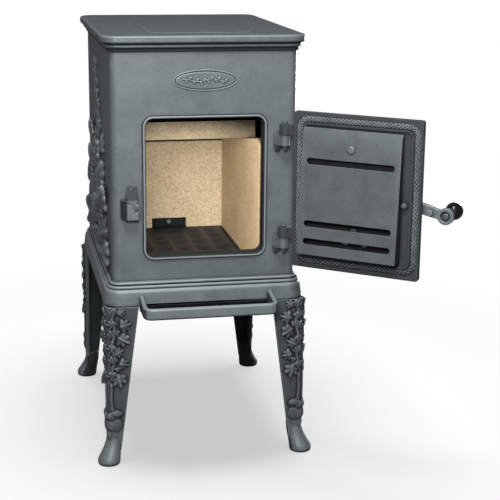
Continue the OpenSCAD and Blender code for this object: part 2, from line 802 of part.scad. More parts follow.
module door() color(iron) at_door() difference() {
  union() {
    door_blank();
    // smooth rib inside the rope
    translate([0, door_in_y, 0])
      rope_ring(rope_w - groove_w - 4, rope_hh - groove_w - 4, rope_corner - 5)
        translate([-2, -2.5]) square([4, 3.5]);
    // moulded frame on the outside
    translate([0, door_out_y, 0]) rope_ring(door_w - 96, door_h - 56, 14)
      translate([-3, -1]) square([6, 4]);
    face_front(pivot_x, door_out_y + 1, pivot_z) cylinder(r = 13, h = 2);
    face_front(disc_x, door_out_y + 1, disc_z) cylinder(r = disc_r + 5, h = 1.3);
    for (z = [hinge_low_z, hinge_high_z]) door_lug(z);
  }
  translate([0, door_in_y, 0]) rope_ring(rope_w, rope_hh, rope_corner)
    translate([-groove_w / 2, -1]) square([groove_w, rope_depth + 1]);
  for (z = [hinge_low_z, hinge_high_z])
    translate([hinge_x, hinge_y, z - 1]) cylinder(r = pin_d / 2 + fit, h = lug_h + 3);
  face_front(pivot_x, door_in_y + 5, pivot_z) cylinder(r = pivot_r, h = door_t + 9);
  face_front(disc_x, door_in_y + 5, disc_z) cylinder(r = spindle_r + fit, h = door_t + 9);
  for (i = [0 : air_n - 1])
    face_front(disc_x, door_in_y + 5, disc_z) rotate([0, 0, i * 360 / air_n + 45])
      translate([air_pcr, 0, 0]) cylinder(r = air_r, h = door_t + 9);
  face_front(shield_x, door_in_y + 5, shield_screw_z()) cylinder(r = screw_r + fit, h = door_t + 1);
}

module door_rope_seal() color("#4b5052") at_door()
  translate([0, door_in_y + door_gap - edge_out - free_gap - rope_d / 2, 0])
    rope_ring(rope_w, rope_hh, rope_corner) circle(rope_d / 2, $fn = 32);

// ---------- shield ----------

function shield_screw_z() = shield_z0 + shield_h - 24;
function shield_off(z) = shield_top_out
  + (shield_low_out - shield_top_out) * (shield_z0 + shield_h - z) / shield_h;
shield_tilt = atan((shield_low_out - shield_top_out) / shield_h);
slot_z = [shield_z0 + 23.5, shield_z0 + 54, shield_z0 + shield_h - 48];

// Profile with x = distance off the door and y = height
module shield_profile(cut) {
  top = shield_z0 + shield_h;
  polygon([
    [0, shield_z0 + cut], [shield_low_out - cut, shield_z0 + cut],
    [shield_top_out - cut, top - cut * 0.5], [3.5 - cut * 0.8, top + shield_bevel - cut],
    [0, top + shield_bevel - cut]
  ]);
}

module shield_run(w, cut, lift) {
  translate([shield_x - w / 2, door_in_y + lift, 0]) rotate([90, 0, 90])
    linear_extrude(w) shield_profile(cut);
}

module door_shield() color(iron) at_door() difference() {
  shield_run(shield_w, 0, 0.01);
  shield_run(shield_w - 2 * shield_t, shield_t, -1);
  for (z = slot_z)
    translate([shield_x, door_in_y + shield_off(z) + 6, z]) rotate([90 + shield_tilt, 0, 0]) {
      translate([-slot_l / 2 + slot_h / 2, -slot_h / 2, 0]) cube([slot_l - slot_h, slot_h, 14]);
      for (x = [-1, 1])
        translate([x * (slot_l - slot_h) / 2, 0, 0]) cylinder(r = slot_h / 2, h = 14);
    }
  face_front(shield_x, door_in_y + shield_low_out, shield_screw_z())
    cylinder(r = screw_r + fit, h = shield_low_out - 1);
}

module shield_screw() color(steel) at_door() {
  z = shield_screw_z();
  y = door_in_y + shield_off(z) + 0.6;
  face_front(shield_x, y, z) cylinder(r = screw_r, h = shield_off(z) + 6.4);
  face_front(shield_x, y + 3, z) cylinder(r1 = 5, r2 = 7.5, h = 2);
  face_front(shield_x, y + 1, z) cylinder(r = 7.5, h = 1);
}

// ---------- lever and knob ----------

module latch_lever() color(iron) at_lever() difference() {
  union() {
    face_front(0, lever_y, 0) cylinder(r = 12, h = lever_t);
    translate([0, lever_y, 0]) rotate([90, 0, 0]) linear_extrude(lever_t) polygon([
      [0, -lever_w / 2 - 1.5], [0, lever_w / 2 + 1.5],
      [-lever_l + 6, lever_w / 2 - 1], [-lever_l + 6, -lever_w / 2 + 1]
    ]);
    face_front(-lever_l, lever_y, 0) cylinder(r = ring_r, h = lever_t);
    // latch stud with its head
    face_front(-stud_at, catch_lip_y0 + 1, 0)
      cylinder(r = stud_neck_r, h = catch_lip_y0 + 1 - lever_y + 1);
    face_front(-stud_at, catch_lip_y0 + 0.5 + stud_head_t, 0)
      cylinder(r = stud_head_r, h = stud_head_t);
  }
  face_front(0, lever_y + 1, 0) cylinder(r = pivot_r + fit, h = lever_t + 2);
  face_front(-lever_l, lever_y + 1, 0) cylinder(r = 8.7, h = 5);
  face_front(-lever_l, lever_y + 1, 0) cylinder(r = 4, h = lever_t + 2);
}

module lever_pivot_bolt() color(steel) at_door() {
  face_front(pivot_x, door_in_y + 0.3, pivot_z)
    cylinder(r = pivot_r, h = door_t + 2.5 + lever_t);
  face_front(pivot_x, lever_y - lever_t - 0.4, pivot_z) cylinder(r = 9, h = 3);
  face_front(pivot_x, lever_y - lever_t - 3.4, pivot_z) cylinder(r1 = 9, r2 = 6, h = 2);
  face_front(pivot_x, door_in_y + 9, pivot_z) cylinder(r = 3, h = 9);
}

module lever_pivot_nut() color(steel) at_door()
  face_front(pivot_x, door_in_y + 6.3, pivot_z) difference() {
    hex_head(5.8, 6);
    translate([0, 0, -1]) cylinder(r = 3, h = 8);
  }

module knob_stem() color(steel) at_lever() {
  face_front(-lever_l, lever_y - 1.5, 0) cylinder(r1 = 4.5, r2 = 6.5, h = 2.5);
  face_front(-lever_l, lever_y - 2, 0) cylinder(r = 4, h = knob_out - 6);
  face_front(-lever_l, lever_y - lever_t, 0) cylinder(r = 7, h = knob_out - lever_t - knob_r + 5);
}

module ball_knob() color(black) at_lever()
  translate([-lever_l, lever_y - knob_out, 0]) difference() {
    sphere(r = knob_r);
    face_front(0, knob_r + 1, 0) cylinder(r = 4, h = knob_r + 5);
    face_front(0, knob_r + 10, 0) cylinder(r = 7, h = 15);
  }

// ---------- air valve ----------

module air_disc() color(iron) at_door() face_front(disc_x, disc_y - 0.3, disc_z) difference() {
  union() {
    cylinder(r = disc_r, h = disc_t);
    cylinder(r = 13, h = disc_t + 2);
  }
  translate([0, 0, -1]) cylinder(r = spindle_r + fit, h = disc_t + 4);
  for (i = [0 : air_n - 1]) rotate([0, 0, i * 360 / air_n + 45])
    translate([air_pcr, 0, -1]) cylinder(r = air_r, h = disc_t + 4);
}

module air_disc_knob() color(steel) at_door() {
  face_front(disc_x, door_in_y + 7, disc_z) cylinder(r = spindle_r, h = door_t + disc_t + 11);
  face_front(disc_x, disc_y - disc_t - 2.6, disc_z) {
    cylinder(r = 7, h = 8);
    translate([0, 0, 8]) cylinder(r1 = 7, r2 = 11, h = 3);
    translate([0, 0, 11]) cylinder(r = 11, h = 5);
    translate([0, 0, 16]) cylinder(r1 = 11, r2 = 7, h = 3);
  }
}

module air_disc_nut() color(steel) at_door()
  face_front(disc_x, door_in_y + 5.3, disc_z) difference() {
    hex_head(7.5, 5.3);
    translate([0, 0, -1]) cylinder(r = spindle_r + fit, h = 8);
  }

// ---------- firebox ----------

// Side view of a side board: x is the distance back, y is height
module side_board(side) {
  translate([side * (fire_x + (side > 0 ? 0 : board_t)), 0, 0])
    rotate([90, 0, 90]) linear_extrude(board_t) polygon([
      [board_y0, fire_z + 0.2], [back_in - 0.3, fire_z + 0.2], [back_in - 0.3, board_z1],
      [shoulder_y, shoulder_z], [board_y0, shoulder_z - shoulder_drop]
    ]);
}

module left_board() color(board) side_board(-1);

module right_board() color(board) side_board(1);

module back_board() color(board) difference() {
  translate([-fire_x - board_t, back_in, fire_z + 0.2])
    cube([fire_w + 2 * board_t, board_t, board_h - 5]);
  translate([notch_x - notch_w / 2, back_in - 1, fire_z - 1])
    cube([notch_w, board_t + 2, notch_h + 1]);
}

module baffle_board() color(board)
  translate([0, back_in, board_z1 + 0.3]) rotate([-tilt, 0, 0])
    translate([-fire_x - board_t + 2, -baffle_l + board_t, 0])
      cube([fire_w + 2 * board_t - 4, baffle_l - baffle_t * tan(tilt), baffle_t]);

// The hearth is a cast plate with rows of shallow hollows
module hearth_plate() color(iron_dark) {
  pitch_x = (fire_w - 4 - hearth_rib) / hollows_x;
  pitch_y = (back_in - hearth_y0 - 6 - hearth_rib) / hollows_y;
  difference() {
    translate([-hearth_w / 2, hearth_y0, fire_z - hearth_t])
      cube([hearth_w, hearth_y1 - hearth_y0, hearth_t]);
    for (i = [0 : hollows_x - 1], j = [0 : hollows_y - 1])
      translate([
        (i - (hollows_x - 1) / 2) * pitch_x,
        hearth_y0 + 6 + hearth_rib / 2 + (j + 0.5) * pitch_y, fire_z - hollow_t
      ]) round_block(pitch_x - hearth_rib, pitch_y - hearth_rib, hearth_t, 6);
  }
}

module rear_air_cover() color(iron_dark) difference() {
  translate([notch_x - notch_w / 2 + 1, cover_y - cover_t, fire_z + 0.5])
    cube([notch_w - 2, cover_t, notch_h - 1.5]);
  face_front(notch_x, back_y, rear_bolt_z()) cylinder(r = screw_r + bolt_fit, h = 30);
}

module rear_air_bolt() color(steel) {
  face_front(notch_x, back_y + 6, rear_bolt_z())
    cylinder(r = screw_r, h = back_y + 8 - cover_y + cover_t);
  face_front(notch_x, cover_y - cover_t, rear_bolt_z()) hex_head(4.6, 5);
  face_front(notch_x, back_y + 5, rear_bolt_z()) hex_head(5.7, 5);
}

// ---------- flue ----------

module flue_collar() color(iron) difference() {
  union() {
    face_front(0, back_y + flange_t, flue_z) cylinder(r = flange_r, h = flange_t);
    face_front(0, back_y + flange_t + flue_l, flue_z) cylinder(r = flue_d / 2, h = flue_l + 1);
    face_front(0, back_y + flange_t + 7, flue_z) cylinder(r = flue_d / 2 + 2, h = 8);
  }
  face_front(0, back_y + flange_t + flue_l + 1, flue_z)
    cylinder(r = flue_bore_r, h = flue_l + flange_t + 2);
  for (p = flue_bolt_places())
    face_front(p.x, back_y + flange_t + 1, p.y) cylinder(r = flue_bolt_r + bolt_fit, h = flange_t + 2);
}

module flue_bolts() color(steel) for (p = flue_bolt_places()) {
  face_front(p.x, back_y + flange_t, p.y) cylinder(r = flue_bolt_r, h = flange_t + wall + 9);
  face_front(p.x, back_y + flange_t + 5.5, p.y) hex_head(7.2, 5.5);
  face_front(p.x, back_y - wall, p.y) hex_head(7.2, 6);
}

top_plate();
top_lid();
front_plate();
left_side_plate();
right_side_plate();
back_plate();
base_plate();
leg_front_left();
leg_front_right();
leg_back_left();
leg_back_right();
leg_bolts();
leg_nuts();
tie_rods();
tie_rod_nuts();
badge_plate();
door_catch();
catch_screws();
hinge_pins();
door();
door_rope_seal();
door_shield();
shield_screw();
latch_lever();
lever_pivot_bolt();
lever_pivot_nut();
knob_stem();
ball_knob();
air_disc();
air_disc_knob();
air_disc_nut();
hearth_plate();
back_board();
left_board();
right_board();
baffle_board();
rear_air_cover();
rear_air_bolt();
flue_collar();
flue_bolts();
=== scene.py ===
# %% [markdown]
# # A cast-iron wood stove with its door open
# The stove's castings, door, lever and boards come from a packed engineering model, and every piece
# here is placed around it. The model is in metres: +Z is up, the front of the stove faces -Y and the
# floor is at zero. This lesson dresses the model: it rounds the edges of the castings, adds the leaf
# relief and the braided seal, and gives each surface a finish.

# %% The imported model
import json
import math

import bmesh
import bpy
from mathutils import Matrix, Vector

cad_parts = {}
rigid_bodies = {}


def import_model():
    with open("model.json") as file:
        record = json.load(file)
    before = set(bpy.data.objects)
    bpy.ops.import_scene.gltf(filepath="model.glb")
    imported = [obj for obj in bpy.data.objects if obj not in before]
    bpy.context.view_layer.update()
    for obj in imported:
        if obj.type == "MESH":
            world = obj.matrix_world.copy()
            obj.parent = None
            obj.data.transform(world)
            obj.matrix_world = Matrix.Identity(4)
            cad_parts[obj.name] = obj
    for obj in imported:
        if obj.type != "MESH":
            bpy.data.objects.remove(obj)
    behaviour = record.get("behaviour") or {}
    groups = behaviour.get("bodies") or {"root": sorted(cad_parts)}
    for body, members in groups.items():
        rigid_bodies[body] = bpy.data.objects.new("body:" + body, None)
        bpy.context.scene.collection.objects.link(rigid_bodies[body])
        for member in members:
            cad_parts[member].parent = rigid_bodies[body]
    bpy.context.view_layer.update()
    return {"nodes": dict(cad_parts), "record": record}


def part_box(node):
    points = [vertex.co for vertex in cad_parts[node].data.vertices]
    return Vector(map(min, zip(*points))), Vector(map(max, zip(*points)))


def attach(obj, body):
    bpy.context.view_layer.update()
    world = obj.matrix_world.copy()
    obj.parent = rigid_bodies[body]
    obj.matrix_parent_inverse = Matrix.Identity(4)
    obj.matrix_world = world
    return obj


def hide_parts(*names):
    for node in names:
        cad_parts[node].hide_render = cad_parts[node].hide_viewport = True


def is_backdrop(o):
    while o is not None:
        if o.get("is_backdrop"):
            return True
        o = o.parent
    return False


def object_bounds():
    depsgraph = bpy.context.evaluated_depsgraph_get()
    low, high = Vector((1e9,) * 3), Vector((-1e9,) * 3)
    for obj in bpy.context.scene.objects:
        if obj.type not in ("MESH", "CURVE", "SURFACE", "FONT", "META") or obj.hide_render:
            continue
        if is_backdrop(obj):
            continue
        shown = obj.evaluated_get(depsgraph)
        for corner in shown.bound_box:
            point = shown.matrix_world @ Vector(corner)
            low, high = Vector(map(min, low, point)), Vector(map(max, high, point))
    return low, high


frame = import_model()
MM = 0.001
scene = bpy.context.scene


def as_mesh(name, bm):
    """The mesh of a finished shape; the bmesh that it was built in is freed"""
    mesh = bpy.data.meshes.new(name)
    bm.to_mesh(mesh)
    bm.free()
    return mesh


def in_scene(name, data):
    """A new object that shows this mesh, curve, camera or lamp"""
    made = bpy.data.objects.new(name, data)
    scene.collection.objects.link(made)
    return made


print("pieces in the model:", len(frame["nodes"]))

# %% [markdown]
# ## The camera
# The picture was taken from a little left of the stove and above it. Turning, tilt and focal length
# were worked out from the stove's own straight edges, so the camera is set by plain numbers: where it
# stands, and how far it is turned, tilted and rolled.

# %% Camera
CAMERA_PLACE = Vector((-0.3709, -2.3596, 0.9410))
CAMERA_TURN, CAMERA_TILT, CAMERA_ROLL = (math.radians(a) for a in (11.9, 14.5, 0.6))
LENS_MM = 92.8


def photo_camera():
    forward = Vector((
        math.sin(CAMERA_TURN) * math.cos(CAMERA_TILT),
        math.cos(CAMERA_TURN) * math.cos(CAMERA_TILT),
        -math.sin(CAMERA_TILT),
    ))
    level = Vector((math.cos(CAMERA_TURN), -math.sin(CAMERA_TURN), 0))
    up = level.cross(forward)
    right = level * math.cos(CAMERA_ROLL) + up * math.sin(CAMERA_ROLL)
    top = up * math.cos(CAMERA_ROLL) - level * math.sin(CAMERA_ROLL)
    data = bpy.data.cameras.new("photo_camera")
    data.lens = LENS_MM
    data.clip_start, data.clip_end = 0.05, 50
    camera = in_scene("photo_camera", data)
    camera.matrix_world = Matrix.Translation(CAMERA_PLACE) @ Matrix(
        (right, top, -forward)).transposed().to_4x4()
    scene.camera = camera


photo_camera()

# %% [markdown]
# ## Helpers for materials
# Colours are written the way a paint chart gives them, as sRGB hex, and turned to linear light in one
# place. Every shader node is added by one function, which takes what its sockets hold, the colour stops
# if it is a ramp, and the node's settings. A socket can hold a number, a colour, a socket of another
# node, or a whole node, which stands for its first output in use.

# %% Colour and node helpers
def linear(colour):
    """Linear light from sRGB hex; a lone number is the level of a grey"""
    if not isinstance(colour, str):
        return (colour, colour, colour, 1)
    channels = [int(colour[i:i + 2], 16) / 255 for i in (1, 3, 5)]
    return (*[c / 12.92 if c <= 0.04045 else ((c + 0.055) / 1.055) ** 2.4 for c in channels], 1)


def add(tree, kind, sockets=(), stops=(), **settings):
    made = tree.nodes.new("ShaderNode" + kind)
    for name, value in settings.items():
        setattr(made, name, value)
    for _ in stops[2:]:
        made.color_ramp.elements.new(0.5)
    for i, (place, colour) in enumerate(stops):
        made.color_ramp.elements[i].position = place
        made.color_ramp.elements[i].color = colour if isinstance(colour, tuple) else linear(colour)
    for name, value in dict(sockets).items():
        if isinstance(value, bpy.types.Node):
            value = next(socket for socket in value.outputs if socket.enabled)
        if isinstance(value, bpy.types.NodeSocket):
            tree.links.new(value, made.inputs[name])
        else:
            made.inputs[name].default_value = linear(value) if isinstance(value, str) else value
    return made


def new_material(name):
    material = bpy.data.materials.new(name)
    material.use_nodes = True
    tree = material.node_tree
    tree.nodes.clear()
    place = add(tree, "TexCoord").outputs["Object"]
    return material, tree, place


def finish_material(material, tree, shader):
    add(tree, "OutputMaterial", {"Surface": shader})
    return material

# %% [markdown]
# ## Heat-painted cast iron
# The stove is grey iron cast in sand, then sprayed with a satin heat-proof paint that holds metal
# flakes, so it shines a little like metal. The sand leaves a fine grain, and the mould a slow unevenness
# that turns highlights into faint clouds. Sand can't hold a sharp edge either: a Bevel node rounds the
# shading of every crease, which is safe on an engineering mesh whose loose triangles a modelled bevel
# would tear. Where the rounded and the plain shading differ most there is an edge, and there a painted
# highlight brightens the colour; Ambient Occlusion finds the creases, and painted shade darkens them.
# Pieces with relief also carry an attribute, -1 in a hollow and +1 on a crest, that paints shade and
# highlight into the colour the same way.

# %% Cast iron
SAND_GRAIN_MM = 2.0  # real grain is about 0.4; drawn coarser so that it shows
MOULD_WAVE_MM = 34.0
CREASE_MM = 9.0
# the colours of painted shade and painted highlight, mixed into the paint
PAINTED_SHADE_COLOUR, PAINTED_HIGHLIGHT_COLOUR = "#0a0b0c", "#a3adaf"


def cast_iron(name, body, crest, hollow, roughness, metallic=0.25, grain_mm=0.14, edge_mm=1.6):
    material, tree, place = new_material(name)
    grain = add(tree, "TexNoise", {
        "Vector": place, "Scale": 1000 / SAND_GRAIN_MM, "Detail": 3, "Roughness": 0.65})
    wave = add(tree, "TexNoise", {
        "Vector": place, "Scale": 1000 / MOULD_WAVE_MM, "Detail": 5, "Roughness": 0.6})
    cloud = add(tree, "ValToRGB", {"Fac": wave}, [(0.25, hollow), (0.5, body), (0.8, crest)])
    speck = add(tree, "ValToRGB", {"Fac": grain}, [(0.3, hollow), (0.5, body), (0.72, crest)])
    paint = add(tree, "Mix", {6: cloud, 7: speck, 0: 0.5}, data_type="RGBA")

    # painted shade: Ambient Occlusion darkens the colour in creases
    crease = add(tree, "AmbientOcclusion", {"Distance": CREASE_MM * MM}, samples=6).outputs["AO"]
    crease_shade = add(tree, "MapRange", {
        "Value": crease, "From Min": 0.86, "From Max": 0.38, "To Max": 0.92})
    # painted highlight: the colour is brightened along convex edges, where the rounded and the plain normal
    # differ
    rounded = add(tree, "Bevel", {"Radius": edge_mm * MM}, samples=6)
    plain = add(tree, "NewGeometry").outputs["Normal"]
    flat = add(tree, "VectorMath", {0: rounded, 1: plain}, operation="DOT_PRODUCT")
    edge = add(tree, "MapRange", {"Value": flat, "From Min": 0.985, "From Max": 0.76})
    unshaded = add(tree, "MapRange", {"Value": crease, "From Min": 0.55, "From Max": 0.85, "To Max": 0.6})
    edge_highlight = add(tree, "Math", {0: edge, 1: unshaded}, operation="MULTIPLY")
    # the relief attribute paints shade below 0 and a highlight above 0
    relief = add(tree, "Attribute", attribute_name="relief").outputs["Fac"]
    deep = add(tree, "MapRange", {"Value": relief, "From Min": 0.0, "From Max": -1.0, "To Max": 0.92})
    high = add(tree, "MapRange", {"Value": relief, "To Max": 0.7})
    for painted_light, where in ((PAINTED_SHADE_COLOUR, crease_shade), (PAINTED_HIGHLIGHT_COLOUR, edge_highlight), (PAINTED_SHADE_COLOUR, deep), (PAINTED_HIGHLIGHT_COLOUR, high)):
        paint = add(tree, "Mix", {6: paint, 7: painted_light, 0: where}, data_type="RGBA")

    rough = add(tree, "MapRange", {
        "Value": grain, "To Min": roughness - 0.1, "To Max": roughness + 0.12})
    dull = add(tree, "Math", {0: deep, 1: 0.35, 2: rough}, operation="MULTIPLY_ADD")
    waves = add(tree, "Bump", {
        "Height": wave, "Strength": 0.25, "Distance": 0.5 * MM, "Normal": rounded})
    grains = add(tree, "Bump", {
        "Height": grain, "Strength": 0.6, "Distance": grain_mm * MM, "Normal": waves})
    shader = add(tree, "BsdfPrincipled", {
        "Base Color": paint, "Roughness": dull, "Metallic": metallic, "Normal": grains})
    return finish_material(material, tree, shader)


painted_iron = cast_iron("heat_painted_cast_iron", "#757d7f", "#8a9395", "#5c6466", 0.5)
bare_iron = cast_iron("bare_cast_iron", "#171d24", "#262d36", "#0e1216", 0.52,
                      metallic=0.0, grain_mm=0.15, edge_mm=2.2)
print("cast iron finishes:", painted_iron.name, bare_iron.name)

# %% [markdown]
# ## Vermiculite board
# The firebox is lined with pressed vermiculite: flakes of exfoliated mica bound into a soft beige board.
# The eye sees mixed flecks of two to four millimetres, some golden and some nearly brown, on a surface
# with no gloss at all. Cells of a Voronoi pattern give the flakes their own colours. The right board is
# tinted a little warmer. The baffle, which hangs in the smoke, is the same board smoked brown in patches,
# and a painted shadow darkens it most at its top and at its right end.

# %% Vermiculite
FLAKE_MM, DUST_MM, PATCH_MM = 2.5, 1.6, 60
BAFFLE_MM = 33  # height of the baffle's front; the painted shadow grows darker from its lower edge up
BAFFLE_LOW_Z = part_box("baffle_board")[1][2] - BAFFLE_MM * MM
print("the lower edge of the baffle's front is at", round(BAFFLE_LOW_Z, 3))


# the darkening sets both the smoke patches and the painted shadow on the baffle
def vermiculite(name, darkening, tint="#ffffff"):
    material, tree, place = new_material(name)
    flakes = add(tree, "TexVoronoi", {"Vector": place, "Scale": 1000 / FLAKE_MM, "Randomness": 1.0})
    dust = add(tree, "TexNoise", {
        "Vector": place, "Scale": 1000 / DUST_MM, "Detail": 4, "Roughness": 0.7})
    patch = add(tree, "TexNoise", {"Vector": place, "Scale": 1000 / PATCH_MM, "Detail": 2})
    fleck = add(tree, "SeparateColor", {"Color": flakes.outputs["Color"]})
    colours = add(tree, "ValToRGB", {"Fac": fleck.outputs["Red"]}, [
        (0.0, "#8f7a57"), (0.12, "#b6a07b"), (0.5, "#c8b592"),
        (0.86, "#d4c5a6"), (1.0, "#e6dbc2")])
    dusty = add(tree, "ValToRGB", {"Fac": dust}, [(0.3, "#a98f68"), (0.7, "#dccfb4")])
    mixed = add(tree, "Mix", {6: colours, 7: dusty, 0: 0.45}, data_type="RGBA")
    shade = add(tree, "ValToRGB", {"Fac": patch}, [(0.3, (0.86, 0.84, 0.8, 1)), (0.7, 1)])
    clouded = add(tree, "Mix", {6: mixed, 7: shade, 0: 0.8}, data_type="RGBA", blend_type="MULTIPLY")
    toned = add(tree, "Mix", {6: clouded, 7: tint, 0: 1.0}, data_type="RGBA", blend_type="MULTIPLY")

    smoky = add(tree, "ValToRGB", {"Fac": patch}, [(0.35, darkening), (0.7, 0.7 * darkening)])
    spot = add(tree, "SeparateXYZ", {"Vector": place})
    # painted shadow: darker towards the baffle's right end and towards its top
    right = add(tree, "MapRange", {
        "Value": spot.outputs["X"], "From Min": 0.04, "From Max": 0.12, "To Max": 0.6 * darkening})
    shadow_top = add(tree, "MapRange", {
        "Value": spot.outputs["Z"], "From Min": BAFFLE_LOW_Z + 8 * MM, "From Max": BAFFLE_LOW_Z + 32 * MM,
        "To Max": 0.8 * darkening})
    both = add(tree, "Math", {0: right, 1: shadow_top}, operation="ADD")
    smoke_and_shadow = add(tree, "Math", {0: smoky, 1: both}, operation="ADD", use_clamp=True)
    smoked_and_shaded = add(tree, "Mix", {6: toned, 7: "#2c2115", 0: smoke_and_shadow}, data_type="RGBA")
    bump = add(tree, "Bump", {"Height": dust, "Strength": 0.7, "Distance": 0.5 * MM})
    shader = add(tree, "BsdfPrincipled", {"Base Color": smoked_and_shaded, "Roughness": 0.95, "Normal": bump})
    return finish_material(material, tree, shader)


fire_board = vermiculite("vermiculite_board", 0.0)
# the right board is tinted a little warmer
warmer_board = vermiculite("toasted_vermiculite", 0.0, tint="#fff2e2")
smoked_shaded_board = vermiculite("smoked_vermiculite", 0.48)

# %% [markdown]
# ## Steel, phenolic plastic and glass-fibre rope
# Bolts and pins are dull steel that has been painted over or has greyed with heat. The ball is phenolic
# plastic, moulded black and glossy, the usual material for a knob near a fire. The seal is a rope of
# braided glass fibre, grey and matt, with fine filaments along every strand; painted shade darkens the
# gaps between the strands, by the attribute that says how deep a point lies.

# %% Steel, phenolic and rope
def stained(name, stain_mm, detail, stops, rough_low, rough_high, metallic=0.0):
    """A smooth surface with slow stains in its colour and its gloss"""
    material, tree, place = new_material(name)
    stain = add(tree, "TexNoise", {"Vector": place, "Scale": 1000 / stain_mm, "Detail": detail})
    colour = add(tree, "ValToRGB", {"Fac": stain}, stops)
    rough = add(tree, "MapRange", {"Value": stain, "To Min": rough_low, "To Max": rough_high})
    shader = add(tree, "BsdfPrincipled", {
        "Base Color": colour, "Metallic": metallic, "Roughness": rough})
    return finish_material(material, tree, shader)


def fibre_rope():
    material, tree, place = new_material("glass_fibre_rope")
    fibres = add(tree, "TexNoise", {"Vector": place, "Scale": 1000 / 0.9, "Detail": 2})
    darkening = add(tree, "TexNoise", {"Vector": place, "Scale": 1000 / 22, "Detail": 3})
    strand = add(tree, "ValToRGB", {"Fac": fibres}, [(0.3, "#666e70"), (0.7, "#98a1a3")])
    dark = add(tree, "ValToRGB", {"Fac": darkening}, [(0.35, 0.6), (0.65, 1)])
    darkened = add(tree, "Mix", {6: strand, 7: dark, 0: 0.9}, data_type="RGBA", blend_type="MULTIPLY")
    depth = add(tree, "Attribute", attribute_name="relief")
    # painted shade in the gaps between the strands
    gap_shade = add(tree, "MapRange", {"Value": depth.outputs["Fac"], "From Min": 0.55, "From Max": -0.35})
    colour = add(tree, "Mix", {6: darkened, 7: "#0c0e0f", 0: gap_shade}, data_type="RGBA")
    bump = add(tree, "Bump", {"Height": fibres, "Strength": 0.8, "Distance": 0.25 * MM})
    shader = add(tree, "BsdfPrincipled", {"Base Color": colour, "Roughness": 0.8, "Normal": bump})
    return finish_material(material, tree, shader)


dull_steel = stained("dull_steel", 6, 4, [(0.35, "#6f7475"), (0.7, "#8d9293")], 0.32, 0.55, metallic=0.85)
phenolic = stained("black_phenolic", 9, 3, [(0.3, "#050505"), (0.8, "#0e0e0f")], 0.2, 0.34)
FINISH = {"cast_iron": painted_iron, "dark_iron": bare_iron, "steel": dull_steel,
          "fire_board": fire_board, "rope": fibre_rope(), "knob": phenolic}
OWN_FINISH = {"baffle_board": smoked_shaded_board, "right_board": warmer_board}
OWN_FINISH.update(dict.fromkeys(
    ("shield_screw", "lever_pivot_bolt", "catch_screws", "leg_bolts"), painted_iron))  # painted over
slot_of = {part["node"]: part["material_slot"] for part in frame["record"]["subparts"]}
for name, made in frame["nodes"].items():
    made.data.materials.clear()
    made.data.materials.append(OWN_FINISH.get(name, FINISH[slot_of[name]]))
print("finishes:", [finish.name for finish in FINISH.values()])

# %% [markdown]
# ## Light, floor and background
# A studio shot. The key light stands beside the camera and above it, close enough that the top of the
# stove is brighter than its legs, and it leaves the left side dark. A small lamp lights the boards in the
# firebox, and a low one the cornice, whose steps the rim would leave in shadow. An edge light from above
# glints on beads, rims and leaves, a back light shows the flue and the sides from behind, and a panel
# draws the soft shadow between the legs. The panel lights the floor alone; what the others light is
# settled in the last cells, once every piece is there. Floor and background are white only to the camera
# and to reflections.

# %% Light and floor
SHINE = 0.14  # how much of the white surroundings the satin paint mirrors
FILL = 0.06  # how strongly the surroundings light the stove
SHADOW_GLOW, FLOOR_NEAR, FLOOR_FAR = 0.55, 0.5, 1.3


def area_light(name, place, aim, size, watts):
    data = bpy.data.lights.new(name, "AREA")
    data.shape, data.size, data.energy = "DISK", size, watts
    lamp = in_scene(name, data)
    lamp.location = place
    lamp.rotation_euler = (Vector(aim) - Vector(place)).to_track_quat("-Z", "Y").to_euler()
    return lamp


def only_on(lamp, state, *objects):
    """Lets a lamp light only these objects, or everything but them"""
    lit = bpy.data.collections.new(lamp.name + "_linked")
    for made in objects:
        lit.objects.link(made)
    lamp.light_linking.receiver_collection = lit
    for entry in lit.collection_objects:
        entry.light_linking.link_state = state


key = area_light("key_light", (-0.45, -1.9, 1.3), (0, -0.1, 0.5), 0.5, 25)
fire_lamp = area_light("firebox_lamp", (-0.12, -0.54, 0.57), (0.05, 0.1, 0.44), 0.26, 4.6)
edge_lamp = area_light("edge_light", (-0.15, -1.1, 2.0), (0, -0.2, 0.3), 0.45, 19)
back_lamp = area_light("back_light", (1.5, 1.7, 0.42), (0, 0.1, 0.42), 0.5, 46)
cornice_lamp = area_light("cornice_light", (-0.45, -1.9, 0.62), (0, -0.24, 0.73), 0.2, 15)
panel = area_light("overhead_panel", (0.0, 0.0, 2.7), (0, 0, 0), 1.5, 40)


def seen_directly(tree, mirrored):
    """1 for what the camera or a clear surface sees, and a share of it for reflections"""
    path = add(tree, "LightPath").outputs
    shine = add(tree, "Math", {0: path["Is Glossy Ray"], 1: mirrored}, operation="MULTIPLY")
    through = add(tree, "Math", {
        0: path["Is Camera Ray"], 1: path["Is Transmission Ray"]}, operation="MAXIMUM")
    return add(tree, "Math", {0: through, 1: shine}, operation="MAXIMUM")


def surroundings():
    world = bpy.data.worlds.new("studio")
    world.use_nodes = True
    tree = world.node_tree
    tree.nodes.clear()
    strength = add(tree, "MapRange", {"Value": seen_directly(tree, SHINE), "To Min": FILL, "To Max": 1.0})
    back = add(tree, "Background", {"Color": (1, 1, 1, 1), "Strength": strength})
    add(tree, "OutputWorld", {"Surface": back})
    scene.world = world


